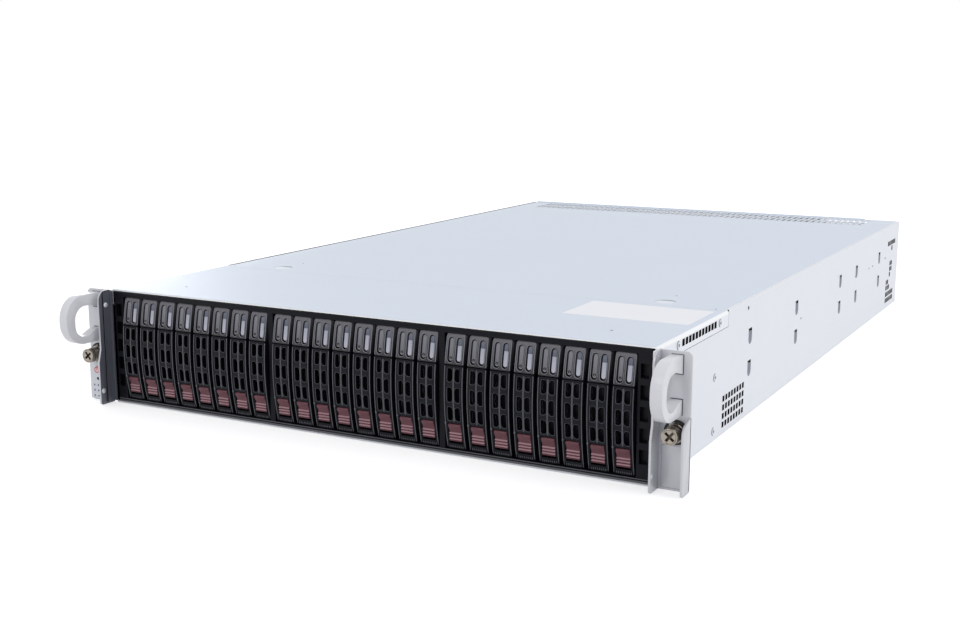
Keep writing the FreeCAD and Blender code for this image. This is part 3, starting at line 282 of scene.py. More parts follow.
def add_cylinder(bm, matrix, radius, depth, segments):
    """A plain cylinder about the matrix's own Z, its middle at the matrix's place."""
    bmesh.ops.create_cone(bm, cap_ends=True, segments=segments, radius1=radius, radius2=radius, depth=depth,
                          matrix=matrix)


def add_outline(bm, points, reach, edge=0.0, segments=2):
    """A flat outline of 3-D points, drawn out by the vector reach."""
    verts = [bm.verts.new(point) for point in points]
    face = bm.faces.new(verts)
    made = bmesh.ops.extrude_face_region(bm, geom=[face])["geom"]
    far = [item for item in made if isinstance(item, bmesh.types.BMVert)]
    bmesh.ops.translate(bm, vec=reach, verts=far)
    soften(bm, {e for v in verts + far for e in v.link_edges}, edge, segments)


# %% [markdown]
# Square holes are cut by bisecting an open sheet along their limits and deleting the faces between,
# which keeps a clean grid of faces. Round holes and rounded slots in a solid need a boolean instead.

# %% Holes
def split_at(bm, axis, value):
    """Slices every face at that place on the axis."""
    normal = [0, 0, 0]
    normal[axis] = 1
    place = [0, 0, 0]
    place[axis] = value
    everything = bm.verts[:] + bm.edges[:] + bm.faces[:]
    bmesh.ops.bisect_plane(bm, geom=everything, dist=1e-5, plane_co=place, plane_no=normal)


def take_out(bm, holes, axes):
    """Cuts an open sheet along the limits of box-shaped holes and deletes what lies in them."""
    for axis in axes:
        for value in sorted({limit for hole in holes for limit in hole[axis]}):
            split_at(bm, axis, value)
    inside = [face for face in bm.faces
              if any(all(low < c < high for c, (low, high) in zip(face.calc_center_median(), hole))
                     for hole in holes)]
    bmesh.ops.delete(bm, geom=inside, context="FACES")


def carve(bm, cutter):
    """Takes the closed mesh cutter out of bm, for holes that are not square."""
    shapes = []
    for name, source in (("carved", bm), ("cutter", cutter)):
        bmesh.ops.recalc_face_normals(source, faces=source.faces)
        mesh = bpy.data.meshes.new(name)
        source.to_mesh(mesh)
        obj = bpy.data.objects.new(name, mesh)
        bpy.context.scene.collection.objects.link(obj)
        shapes.append(obj)
    body, tool = shapes
    modifier = body.modifiers.new("holes", "BOOLEAN")
    modifier.object = tool
    modifier.solver = "EXACT"
    graph = bpy.context.evaluated_depsgraph_get()
    result = bpy.data.meshes.new_from_object(body.evaluated_get(graph))
    bm.clear()
    bm.from_mesh(result)
    cutter.free()
    for obj in shapes:
        mesh = obj.data
        bpy.data.objects.remove(obj)
        bpy.data.meshes.remove(mesh)
    bpy.data.meshes.remove(result)


# %% [markdown]
# Screws, rivets, buttons and rings are turned parts. A turned part is half a section spun about its
# axis, so its whole shape is a short list of (radius, height) points.

# %% Joined and spun pieces
def outwards(bm):
    """Turns every face of the bmesh to point outwards."""
    bmesh.ops.recalc_face_normals(bm, faces=bm.faces)
    return bm


def add_mesh_of(bm, other):
    """Joins the bmesh other into bm and frees it."""
    mesh = bpy.data.meshes.new("joined")
    other.to_mesh(mesh)
    other.free()
    bm.from_mesh(mesh)
    bpy.data.meshes.remove(mesh)


def add_spun(bm, profile, place, direction, steps=24):
    """A profile of (radius, height) points, spun about the line from place along direction."""
    made = bmesh.new()
    verts = [made.verts.new((radius, 0, height)) for radius, height in profile]
    edges = [made.edges.new(pair) for pair in zip(verts, verts[1:])]
    bmesh.ops.spin(made, geom=verts + edges, cent=(0, 0, 0), axis=(0, 0, 1), angle=2 * math.pi, steps=steps,
                   use_merge=True)
    bmesh.ops.remove_doubles(made, verts=made.verts, dist=1e-4)
    turn = Vector(direction).to_track_quat("Z", "Y").to_matrix().to_4x4()
    bmesh.ops.transform(made, matrix=Matrix.Translation(place) @ turn, verts=made.verts)
    add_mesh_of(bm, outwards(made))


def add_rivet(bm, place, direction, radius, height=0.5):
    """A low domed rivet head."""
    profile = [(0, height), (radius * 0.5, height * 0.92), (radius * 0.85, height * 0.55), (radius, 0),
               (radius, -0.2), (0, -0.2)]
    add_spun(bm, profile, place, direction)


def add_disc(bm, place, direction, radius, height=0.06):
    """A thin disc, for a small hole that is only a dark spot from outside."""
    add_spun(bm, [(0, height), (radius, height), (radius, -0.1), (0, -0.1)], place, direction)


# %% [markdown]
# A piece is drawn in millimetres from the front of the bay. hand_over moves it to metres, gives it its
# finish, hangs it on an empty for the moving body it rides on, and hides the CAD nodes it stands for.

# %% Turn a piece into an object on its body
def mark_faces(bm, test):
    """Gives the second finish to the faces whose centre and normal pass the test."""
    for face in bm.faces:
        face.material_index = int(test(face.calc_center_median(), face.normal))


def hand_over(name, bm, body, slot, material=None, stands_for=(), crease=35, second=None):
    """Turns the bmesh into an object in metres that rides on body.

    second is a pair: another finish, and a test on a face's centre and normal that says where it goes.
    Without a test the faces keep the choice made by mark_faces.
    """
    if second and second[1]:
        mark_faces(bm, second[1])
    bmesh.ops.scale(bm, vec=(MM, MM, MM), verts=bm.verts)
    bmesh.ops.translate(bm, vec=(0, FRONT, 0), verts=bm.verts)
    mesh = bpy.data.meshes.new(name)
    bm.to_mesh(mesh)
    bm.free()
    mesh.shade_smooth()
    mesh.set_sharp_from_angle(angle=math.radians(crease))
    piece = bpy.data.objects.new(name, mesh)
    bpy.context.scene.collection.objects.link(piece)
    mesh.materials.append(material or FINISHES[slot])
    if second:
        mesh.materials.append(second[0])
    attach(piece, body)
    if stands_for:
        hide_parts(*stands_for)
    return piece


# %% [markdown]
# ## The shell
#
# The case is folded from zinc-plated sheet, 1.2 mm thick. A sheet is best drawn as one open strip:
# the profile's corners are bevelled to the bend radius, the holes are cut out, and only then does
# the strip get its thickness. The real sheet is punched flat and folded afterwards; here the bends
# come first, because the places of the holes are known in the folded case.

# %% A bent sheet
SHEET = 1.2
COVER_BEND = 2.0
BEND_STEPS = 5


def bent_sheet(profile, y, holes, axes, thickness=SHEET, bend=SHEET):
    """A strip through the (x, z) points of profile, from y[0] to y[1], thickened to its left side."""
    bm = bmesh.new()
    verts = [bm.verts.new((px, y[0], pz)) for px, pz in profile]
    edges = [bm.edges.new(pair) for pair in zip(verts, verts[1:])]
    made = bmesh.ops.extrude_edge_only(bm, edges=edges)["geom"]
    far = [item for item in made if isinstance(item, bmesh.types.BMVert)]
    bmesh.ops.translate(bm, vec=(0, y[1] - y[0], 0), verts=far)
    folds = [e for e in bm.edges if len(e.link_faces) == 2]
    soften(bm, folds, bend, BEND_STEPS)
    take_out(bm, holes, axes)
    bmesh.ops.solidify(bm, geom=bm.faces[:], thickness=thickness)
    return outwards(bm)


def size_of(bm):
    """The limits of a bmesh along X, Y and Z, for printing."""
    spans = [(min(v.co[a] for v in bm.verts), max(v.co[a] for v in bm.verts)) for a in range(3)]
    return [(round(low, 2), round(high, 2)) for low, high in spans]


def in_a_row(start, pitch, size, count):
    """The limits of count holes in a row, each of that size."""
    return [(start + pitch * index, start + pitch * index + size) for index in range(count)]


TUB_LOW, TUB_HIGH = limits("chassis_tub")
COVER_LOW, COVER_HIGH = limits("front_cover")
LID_LOW, LID_HIGH = limits("top_cover")
HALF = COVER_HIGH.x
HEIGHT = TUB_HIGH.z
DEPTH = TUB_HIGH.y
WALL = HALF - SHEET
SEAM = LID_LOW.y - 0.3
FLANGE = COVER_LOW.z
print("case", 2 * HALF, "wide,", DEPTH, "deep,", HEIGHT, "high")

# %% [markdown]
# The right wall breathes through square holes, which a turret punch makes in straight rows. Five pairs of
# hooks along each wall hang the server on its rails: a mouth is punched through, and below it a scoop is
# pressed in, so that light falls on a sloping rim and a flat floor. The scoop is also painted a darker grey
# than the wall, as the shade in its pocket.

# %% Holes in the walls
VENT_PITCH = 6.4
RIGHT_WALL = (WALL - 2, HALF + 1)
# Each rear row: its height, how far it starts from the rear edge, and its number of holes.
REAR_ROWS = ((67.0, 54.0, 6), (61.0, 35.0, 1), (45.0, 40.0, 2), (39.0, 40.0, 2), (33.0, 40.0, 1),
             (26.0, 54.0, 2), (20.0, 54.0, 3), (13.0, 54.0, 6), (6.5, 54.0, 6))


def side_vents():
    """Small square holes low in the right wall, four rows of eight."""
    columns = in_a_row(130.7, VENT_PITCH, 4.4, 8)
    rows = in_a_row(5.4, 6.2, 4.2, 4)
    return [(RIGHT_WALL, y, z) for y in columns for z in rows]


def rear_vents():
    """The clusters of holes at the back of the right wall."""
    return [(RIGHT_WALL, y, (z, z + 4.8)) for z, inset, count in REAR_ROWS
            for y in in_a_row(DEPTH - inset, VENT_PITCH, 5.0, count)]


# %% The rail hooks
HOOK_Y = (191.0, 318.5, 468.0, 533.0, 635.0)
HOOK_Z = (36.0, 60.0)
HOOK_HALF = 4.0
HOOK_HEIGHT = 12.0
HOOK_MOUTH = 2.4
HOOK_DEPTH = 2.0
HOOK_SLOPE = 1.1
SCOOP_WALL = 0.5
HOOKS = [(side, y, z) for side in (-1, 1) for y in HOOK_Y for z in HOOK_Z]


def hook_outline(y, z, half, top, steps=10):
    """A slot with a round lower end, as (y, z) points around the hook's middle."""
    foot = z - HOOK_HEIGHT / 2 + HOOK_HALF
    turns = [math.pi * step / steps for step in range(steps + 1)]
    arc = [(y - half * math.cos(turn), foot - half * math.sin(turn)) for turn in turns]
    return [(y - half, top)] + arc + [(y + half, top)]


def add_scoop(bm, side, y, z):
    """The pocket pressed in below a hook's mouth: sloping sides around a flat floor."""
    top = z + HOOK_HEIGHT / 2 - HOOK_MOUTH
    outer = hook_outline(y, z, HOOK_HALF, top)
    inner = hook_outline(y, z, HOOK_HALF - HOOK_SLOPE, top)
    rim = [bm.verts.new((side * HALF, v, w)) for v, w in outer]
    floor = [bm.verts.new((side * (HALF - HOOK_DEPTH), v, w)) for v, w in inner]
    faces = [bm.faces.new(floor)]
    for (a, b), (c, d) in zip(zip(rim, rim[1:]), zip(floor, floor[1:])):
        faces.append(bm.faces.new((a, b, d, c)))
    bmesh.ops.recalc_face_normals(bm, faces=faces)
    bmesh.ops.solidify(bm, geom=faces, thickness=SCOOP_WALL * side)


def punch_hooks(bm):
    """Punches the mouth of every hook through the walls."""
    cutter = bmesh.new()
    for side, y, z in HOOKS:
        points = hook_outline(y, z, HOOK_HALF, z + HOOK_HEIGHT / 2)
        add_outline(cutter, [(side * (HALF - 3), v, w) for v, w in points], (side * 6, 0, 0))
    carve(bm, cutter)


def build_scoops():
    bm = bmesh.new()
    for side, y, z in HOOKS:
        add_scoop(bm, side, y, z)
    print("scoops", len(HOOKS), "with", len(bm.faces), "faces")
    return outwards(bm)


# %% [markdown]
# The tub is one sheet: a floor with two walls. In front the walls end below the cover's flange, and
# a tab on each side turns outwards to carry an ear.

# %% The tub: floor and side walls
TUB_FRONT = 0.8
TAB_TOP = HEIGHT - 0.8
ALL_ACROSS = (-HALF - 1, HALF + 1)


def build_tub():
    profile = [(-HALF, HEIGHT), (-HALF, 0), (HALF, 0), (HALF, HEIGHT)]
    low_front = (ALL_ACROSS, (-20, COVER_HIGH.y + 0.3), (FLANGE - 0.3, HEIGHT + 1))
    bm = bent_sheet(profile, (TUB_FRONT, DEPTH), side_vents() + rear_vents() + [low_front], (1, 2))
    punch_hooks(bm)
    for side in (-1, 1):
        tab = side * (TUB_HIGH.x - SHEET)
        outer = (tab, tab + side * SHEET)
        add_block(bm, (side * WALL, tab), (TUB_FRONT, TUB_FRONT + SHEET), (2, FLANGE - 0.3))
        add_block(bm, outer, (TUB_LOW.y, TUB_FRONT + SHEET), (2, FLANGE - 0.3), 0.3)
        add_block(bm, outer, (TUB_LOW.y, -0.3), (FLANGE - 0.6, TAB_TOP), 0.3)
        add_block(bm, (side * (HALF - 0.4), tab), (-1.5, -0.3), (FLANGE - 0.6, TAB_TOP))
    print("tub", size_of(bm))
    return outwards(bm)


def within_case(centre, normal):
    """Whether a face of the tub or a cover lies on its inner side, where dark paint stands for the shade
    inside the case.
    """
    return abs(centre.x) < HALF - 0.9 and 0.9 < centre.z < HEIGHT - 0.9 and 3 < centre.y < DEPTH - 1


def painted_shade_side(centre, normal):
    """Whether a face lies on the case's inner side, is the rim of a hole in a wall, or is on the left tab:
    faces that take the painted shade of the inside.
    """
    across_wall = abs(normal.x) < 0.3 and abs(centre.x) > WALL - 0.1
    rim = across_wall and 3 < centre.z < HEIGHT - 3 and 3 < centre.y < DEPTH - 3
    left_tab = centre.x < -HALF + 0.5 and centre.y < 0.7
    return rim or left_tab or within_case(centre, normal)


hand_over("tub", build_tub(), "chassis", "zinc_steel", stands_for=["chassis_tub"],
          second=(EXTRA["inside"], painted_shade_side))
hand_over("hook_scoops", build_scoops(), "chassis", "zinc_steel", EXTRA["scoop"])

# %% [markdown]
# The front cover is fixed. Its flanges carry a row of square slots. Its top ends at the seam, just
# ahead of the lid, while its sides run on a little way beside the lid.

# %% The fixed front cover
COVER_SLOTS = in_a_row(44.3, 6.3, 4.8, 11)


def build_front_cover():
    profile = [(-HALF, FLANGE), (-HALF, HEIGHT), (HALF, HEIGHT), (HALF, FLANGE)]
    step = ((-HALF + 2.5, HALF - 2.5), (SEAM, COVER_HIGH.y + 1), (HEIGHT - 3, HEIGHT + 1))
    slots = [(ALL_ACROSS, y, (80.0, 84.6)) for y in COVER_SLOTS]
    bm = bent_sheet(profile, (COVER_LOW.y, COVER_HIGH.y), slots + [step], (0, 1, 2), -SHEET, COVER_BEND)
    print("front cover", size_of(bm))
    return bm


hand_over("cover_front", build_front_cover(), "chassis", "zinc_steel", EXTRA["cover"],
          stands_for=["front_cover"], second=(EXTRA["inside"], painted_shade_side))

# %% [markdown]
# The lid slides back once its two round pads are pressed. Two rows of long vents lie over the power
# supplies and the rear of the board. A pad is a disc whose rear rim is cut back along a curve, so
# that a dark crescent shows behind it.

# %% The sliding lid
RELEASES = {side: limits("cover_release_" + side) for side in ("left", "right")}
PAD_GAP = 0.3
SHORT_AT_FRONT = 13         # the side flanges stop that far from the lid's front and rear ends
SHORT_AT_REAR = 16
LID_VENTS_X = in_a_row(-192, VENT_PITCH, 4, 60)
LID_VENTS_Y = in_a_row(DEPTH - 54, 24.5, 20, 2)


def release_circle(side):
    """Middle and radius of the round hole in which a release pad works."""
    low, high = RELEASES[side]
    return ((low.x + high.x) / 2, (low.y + high.y) / 2), (high.x - low.x) / 2


def build_lid():
    edge = LID_HIGH.x
    profile = [(-edge, LID_LOW.z), (-edge, HEIGHT), (edge, HEIGHT), (edge, LID_LOW.z)]
    ends = ((SEAM, SEAM + SHORT_AT_FRONT), (LID_HIGH.y - SHORT_AT_REAR, LID_HIGH.y + 1))
    short = [((-edge - 1, edge + 1), span, (LID_LOW.z - 1, HEIGHT - 0.6)) for span in ends]
    vents = [(x, y, (HEIGHT - 3, HEIGHT + 1)) for x in LID_VENTS_X for y in LID_VENTS_Y]
    bm = bent_sheet(profile, (LID_LOW.y, LID_HIGH.y), short + vents, (0, 1, 2), -SHEET, COVER_BEND)
    cutter = bmesh.new()
    for side in RELEASES:
        centre, radius = release_circle(side)
        matrix = Matrix.Translation((*centre, HEIGHT))
        add_cylinder(cutter, matrix, radius + PAD_GAP, 6, 48)
    carve(bm, cutter)
    # A low lip stands up along the lid's rear edge.
    add_block(bm, (-edge + 2, edge - 35), (LID_HIGH.y - SHEET, LID_HIGH.y), (HEIGHT - SHEET, LID_HIGH.z), 0.2)
    print("lid", size_of(bm))
    return outwards(bm)


hand_over("lid", build_lid(), "top_cover", "zinc_steel", EXTRA["cover"], stands_for=["top_cover"],
          second=(EXTRA["inside"], within_case))

# %% The two release pads
PAD_THICKNESS = 1.1
PAD_MIDDLE = HEIGHT - 0.75
# The cut behind a pad, as shares of its radius: its middle's place, its half width and its bow.
CRESCENT_BACK = 0.62
CRESCENT_WIDE = 1.3
CRESCENT_DEEP = 0.45


def build_release(side):
    """A round pad whose rear rim is cut back, so that a dark crescent shows behind it."""
    (x, y), radius = release_circle(side)
    bm = bmesh.new()
    add_cylinder(bm, Matrix.Translation((x, y, PAD_MIDDLE)), radius, PAD_THICKNESS, 48)
    cutter = bmesh.new()
    below = HEIGHT - 3
    back = y + radius * CRESCENT_BACK
    turns = [math.pi * step / 12 for step in range(13)]
    outline = [(x + CRESCENT_WIDE * radius * math.cos(turn),
                back + CRESCENT_DEEP * radius * (math.sin(turn) - 1), below) for turn in turns]
    outline += [(x + reach, y + 2 * radius, below) for reach in (-2 * radius, 2 * radius)]
    add_outline(cutter, outline, (0, 0, 6))
    carve(bm, cutter)
    soften(bm, [e for e in bm.edges if e.calc_face_angle(0) > 1], 0.2, 2)
    print("release pad", size_of(bm))
    return outwards(bm)


for side in RELEASES:
    hand_over("release_pad_" + side, build_release(side), "cover_release_" + side, "zinc_steel",
              EXTRA["cover"], stands_for=["cover_release_" + side])

# %% [markdown]
# ## The drive bay
#
# A black frame surrounds the trays, with one opening for each group of eight and a ladder of small
# windows in the end posts. Its lower bar stands a little forward and is grooved along its length.

# %% The bay frame
FRAME_LOW, FRAME_HIGH = limits("drive_bay_frame")
TRAY_LOW, TRAY_HIGH = limits("drive_tray_01")
GROUPS = 3
TRAYS_IN_GROUP = 8
GROUP_GAP = 0.7
NOTCHES = 5
NOTCH_PITCH = 13.5
NOTCH_HEIGHT = 9


def group_span(index):
    """Left and right limit of one group's opening."""
    first = limits("drive_tray_%02d" % (1 + TRAYS_IN_GROUP * index))[0].x
    last = limits("drive_tray_%02d" % (TRAYS_IN_GROUP * (index + 1)))[1].x
    return first - GROUP_GAP, last + GROUP_GAP


def notches():
    """The limits along X, and the lower edge, of each small window in the two end posts."""
    outer = group_span(GROUPS - 1)[1]
    for step in range(NOTCHES):
        z = TRAY_LOW.z + NOTCH_HEIGHT + NOTCH_PITCH * step
        for side in (-1, 1):
            yield sorted((side * (outer + 1.7), side * (FRAME_HIGH.x - 1.6))), z


def build_frame():
    bm = bmesh.new()
    add_block(bm, (FRAME_LOW.x, FRAME_HIGH.x), (0, FRAME_HIGH.y), (FRAME_LOW.z, FRAME_HIGH.z), 0.4)
    cutter = bmesh.new()
    for index in range(GROUPS):
        add_block(cutter, group_span(index), (-2, FRAME_HIGH.y + 2), (TRAY_LOW.z - 0.4, TRAY_HIGH.z + 0.4))
    for across, z in notches():
        add_block(cutter, across, (-2, 4), (z, z + NOTCH_HEIGHT))
    carve(bm, cutter)
    print("bay frame", size_of(bm), len(bm.faces))
    return outwards(bm)


def build_frame_edges():
    """The lower edge of each little window and the two ridges of the lower bar, in grey: a painted highlight
    on the lit edges, partly the bar's own dark grey.
    """
    bm = bmesh.new()
    for across, z in notches():
        add_block(bm, across, (0.0, 1.2), (z - 0.5, z - 0.05), 0.1, 1)
    span = (FRAME_LOW.x + 0.4, FRAME_HIGH.x - 0.4)
    add_block(bm, span, (-0.5, 0.6), (TRAY_LOW.z - 1.15, TRAY_LOW.z - 0.55), 0.2)
    add_block(bm, span, (-0.5, 0.6), (FRAME_LOW.z, FRAME_LOW.z + 1.5), 0.35)
    return outwards(bm)


hand_over("bay_frame", build_frame(), "chassis", "black_front", stands_for=["drive_bay_frame"])
hand_over("bay_frame_edges", build_frame_edges(), "chassis", "black_front", EXTRA["frame_bar"])

# %% [markdown]
# ## The drive trays
#
# Twenty-four trays give the front its rhythm. Each has a cap with two status windows, a black lever
# whose face is a grille, and a mauve latch. Every piece is drawn on a flat front first, with its
# holes carved and their rims bevelled, and is then bowed, as the real face is. One tray is drawn at
# X = 0 and copied to the place of each.

# %% The bowed face
TRAY_MIDDLE = (TRAY_LOW.z + TRAY_HIGH.z) / 2
TRAY_HALF = (TRAY_HIGH.z - TRAY_LOW.z) / 2
LEVER_LOW, LEVER_HIGH = limits("tray_lever_24")
LATCH_LOW, LATCH_HIGH = limits("tray_latch_24")
BULGE = 3.5                 # how far the middle of the face stands forward of the bay's front
SETBACK = 1.5               # how far its ends lie behind it
FACE_HALF = 6.9


def face_y(z):
    """Y of the bowed face at height z: a parabola with its crest at the tray's middle."""
    share = (z - TRAY_MIDDLE) / TRAY_HALF
    return -BULGE + (BULGE + SETBACK) * share * share


def bow(bm, step=3.0):
    """Slices a piece drawn on a flat front and moves it onto the tray's bowed face."""
    low = min(v.co.z for v in bm.verts)
    high = max(v.co.z for v in bm.verts)
    count = int((high - low) / step)
    for index in range(1, count):
        split_at(bm, 2, low + (high - low) * index / count)
    for vert in bm.verts:
        vert.co.y += face_y(vert.co.z)
    return bm


def copies(source, x):
    """The bmesh source again, moved along X."""
    bm = source.copy()
    bmesh.ops.translate(bm, vec=(x, 0, 0), verts=bm.verts)
    return bm


def rounded(points, steps=6):
    """Replaces each (u, v, radius) corner of an outline by points on its arc."""
    result = []
    for index, (u, v, radius) in enumerate(points):
        here = Vector((u, v))
        if radius == 0:
            result.append(here)
            continue
        before = (Vector(points[index - 1][:2]) - here).normalized()
        after = (Vector(points[(index + 1) % len(points)][:2]) - here).normalized()
        half = before.angle(after) / 2
        reach = radius / math.tan(half)
        centre = here + (before + after).normalized() * (radius / math.sin(half))
        start = here + before * reach - centre
        turn = start.angle_signed(here + after * reach - centre)
        for step in range(steps + 1):
            result.append(centre + Matrix.Rotation(-turn * step / steps, 2) @ start)
    return result


def add_front_outline(bm, points, y, edge=0.0, segments=2):
    """An (x, z) outline drawn out from y[0] back to y[1]."""
    add_outline(bm, [(u, y[0], v) for u, v in points], (0, y[1] - y[0], 0), edge, segments)


def round_front_rims(bm, width):
    """Bevels every edge between the flat front at Y = 0 and a hole's wall."""
    rims = [edge for edge in bm.edges if all(abs(vert.co.y) < 1e-4 for vert in edge.verts)
            and len(edge.link_faces) == 2 and edge.calc_face_angle(0) > 1]
    soften(bm, rims, width, 2)


# %% [markdown]
# The lever is pulled to bring a drive out. Its face lets the cooling air in through three rows of tall holes
# on both sides of a middle rib. The rims of the holes and the rib get a grey painted highlight, so they are
# told apart by the direction of their faces while the front is still flat.

# %% The lever and its grille
ROWS = ((24.7, 34.0), (37.4, 47.3), (51.0, 60.0))
LATCH_HALF = 4.6
RIB_HALF = 0.5
HOLE_INNER, HOLE_OUTER = 0.7, 4.7
HINGE_RELIEF = 0.5          # the top of the lever's face is cut back, so that it swings clear of the cap


def grille_hole(side, z):
    """A tall hole beside the middle rib, rounder towards the rib."""
    inner, outer = side * HOLE_INNER, side * HOLE_OUTER
    return rounded([(inner, z[0], 2.2), (inner, z[1], 2.2), (outer, z[1], 1.1), (outer, z[0], 1.1)], 4)


def build_lever():
    bm = bmesh.new()
    low, high = LEVER_LOW.z, LEVER_HIGH.z
    add_block(bm, (-FACE_HALF, FACE_HALF), (0, 2.0), (low, high))
    for vert in bm.verts:
        if vert.co.y < 1 and vert.co.z > high - 0.1:
            vert.co.z -= HINGE_RELIEF
    cutter = bmesh.new()
    for row in ROWS:
        for side in (-1, 1):
            add_front_outline(cutter, grille_hole(side, row), (-3, 5))
    latch_z = (LATCH_LOW.z - 1.6, LATCH_HIGH.z + 0.5)
    add_block(cutter, (-LATCH_HALF - 0.5, LATCH_HALF + 0.5), (-3, 5), latch_z)
    carve(bm, outwards(cutter))
    round_front_rims(bm, 0.3)
    outwards(bm)
    for value in (-RIB_HALF, RIB_HALF):
        split_at(bm, 0, value)
    for value in (ROWS[0][0] - 0.6, ROWS[-1][1] + 0.6):
        split_at(bm, 2, value)
    mark_faces(bm, rim_or_rib)
    for side in (-1, 1):
        add_block(bm, (side * (FACE_HALF - 0.7), side * FACE_HALF), (1.8, 5.4), (low, high))
    return outwards(bow(bm))


def rim_or_rib(centre, normal):
    """Whether a face of the flat lever belongs to a hole's bevelled rim or to the middle rib, which take a
    painted highlight.
    """
    rim = 0.2 < -normal.y < 0.95
    rib = -normal.y > 0.95 and abs(centre.x) < RIB_HALF
    in_grille = ROWS[0][0] - 0.7 < centre.z < ROWS[-1][1] + 0.7
    return centre.y < 0.4 and in_grille and (rim or rib)


def bead(side):
    """The limits along X of the bead on one side of the face."""
    return side * (FACE_HALF - 0.55), side * (FACE_HALF - 0.05)


def build_edges():
    """The raised beads along both sides of the face, grey as a painted highlight on the moulding's edges."""
    bm = bmesh.new()
    for side in (-1, 1):
        add_block(bm, bead(side), (-0.4, 0.6), (LEVER_LOW.z + 0.6, LEVER_HIGH.z - HINGE_RELIEF - 0.4), 0.2, 1)
    nick_z = (LATCH_HIGH.z - 0.4, LATCH_HIGH.z + 1.2)
    add_block(bm, (-FACE_HALF - 0.15, -FACE_HALF + 0.9), (-0.5, 0.8), nick_z, 0.2, 1)
    return outwards(bow(bm))


LEVER = build_lever()
LEVER_EDGES = build_edges()
print("lever", size_of(LEVER), len(LEVER.faces))

# %% [markdown]
# The mauve latch is the tongue that a finger presses to free the lever. It leans out at its foot,
# where three ridges give the grip. Its section holds the whole shape, so it is drawn out sideways.

# %% The latch
RIDGES = 3
RIDGE_PITCH = 2.0
RIDGE_STEP = 0.15           # each ridge stands that much further out than the one below


def build_latch():
    """A leaning tongue: smooth above, with three grip ridges below."""
    low, high = LATCH_LOW.z, LATCH_HIGH.z
    front = face_y(low) - 0.7
    outline = [(front + 3.0, low), (front + 0.5, low)]
    for ridge in range(RIDGES):
        z = low + 0.5 + RIDGE_PITCH * ridge
        crest = front - RIDGE_STEP * ridge
        outline += [(crest + 0.45, z), (crest - 0.05, z + 0.3), (crest - 0.25, z + 0.75),
                    (crest - 0.05, z + 1.2), (crest + 0.5, z + 1.5)]
    outline += [(front + 0.1, low + 7.4), (face_y(high) - 0.4, high - 1.4), (face_y(high) + 0.2, high - 0.2),
                (face_y(high) + 0.8, high), (face_y(high) + 3.2, high)]
    bm = bmesh.new()
    add_outline(bm, [(-LATCH_HALF, y, z) for y, z in outline], (2 * LATCH_HALF, 0, 0), 0.12, 1)
    return outwards(bm)


def on_ridge(centre, normal):
    """Whether a face of the latch is the lit upper side of one of the ridges, which is painted lighter as a
    highlight.
    """
    return centre.z < LATCH_LOW.z + 6.6 and normal.y < -0.2 and normal.z > 0.25


LATCH = build_latch()
print("latch", size_of(LATCH), len(LATCH.faces))

# %% [markdown]
# The cap above the lever stays put. It has two wells shaped like capsules, each with a status
# window behind it: a grey one on the left and a paler one on the right. No icon is drawn on them;
# a small plain ring is all that is moulded into the left one.

# %% The cap with its two status windows
CAP_BOTTOM = LEVER_HIGH.z + 0.35
WINDOW_Z = (64.6, 79.6)
WINDOW_X = 3.0
WINDOW_HALF = 1.6
WELL_HALF = 2.3
RIM = 0.28


def capsule(x, half, z, steps=8):
    """An upright bar with half-round ends, as (x, z) points."""
    points = []
    for end, turn in ((z[1] - half, 0), (z[0] + half, math.pi)):
        for step in range(steps + 1):
            angle = turn + math.pi * step / steps
            points.append((x + half * math.cos(angle), end + half * math.sin(angle)))
    return points


def build_cap():
    bm = bmesh.new()
    outline = rounded([(-FACE_HALF, CAP_BOTTOM, 0.4), (FACE_HALF, CAP_BOTTOM, 0.4),
                       (FACE_HALF, TRAY_HIGH.z, 1.4), (-FACE_HALF, TRAY_HIGH.z, 1.4)], 4)
    add_front_outline(bm, outline, (0, 5.4))
    cutter = bmesh.new()
    well_z = (WINDOW_Z[0] - 0.9, WINDOW_Z[1] + 0.7)
    for side in (-1, 1):
        add_front_outline(cutter, capsule(side * WINDOW_X, WELL_HALF, well_z), (-3, 3))
    carve(bm, outwards(cutter))
    round_front_rims(bm, 0.35)
    return outwards(bow(bm))


def build_cap_edges():
    """The raised rim round each well and the beads along the cap's sides, grey as a painted highlight."""
    bm = bmesh.new()
    z = (WINDOW_Z[0] - 1.2, WINDOW_Z[1] + 1.0)
    for side in (-1, 1):
        ring = bmesh.new()
        add_front_outline(ring, capsule(side * WINDOW_X, WELL_HALF + RIM, z), (-0.25, 0.5))
        hole = bmesh.new()
        add_front_outline(hole, capsule(side * WINDOW_X, WELL_HALF, (z[0] + RIM, z[1] - RIM)), (-2, 2))
        carve(ring, outwards(hole))
        add_mesh_of(bm, ring)
        add_block(bm, bead(side), (-0.3, 0.6), (CAP_BOTTOM + 0.4, TRAY_HIGH.z - 1.6), 0.2, 1)
    return outwards(bow(bm))


def build_window(side):
    """A clear strip set back in its well."""
    bm = bmesh.new()
    add_front_outline(bm, capsule(side * WINDOW_X, WINDOW_HALF, WINDOW_Z), (0.7, 2.9), 0.25, 1)
    return outwards(bow(bm))


def build_window_mark():
    """The small dark ring moulded into the foot of the left window."""
    bm = bmesh.new()
    middle = (-WINDOW_X, WINDOW_Z[0] + 2.0)
    profile = [(0.5, 0), (0.5, 0.14), (0.95, 0.14), (0.95, 0)]
    y = face_y(middle[1]) + 0.72
    add_spun(bm, profile, (middle[0], y, middle[1]), (0, -1, 0), 16)
    return outwards(bm)


def build_well():
    """The black floor behind both windows, painted darker than the plastic as the shade in the wells."""
    bm = bmesh.new()
    add_block(bm, (-6.2, 6.2), (2.6, 2.9), (WINDOW_Z[0] - 1.4, WINDOW_Z[1] + 1.2))
    return outwards(bow(bm))


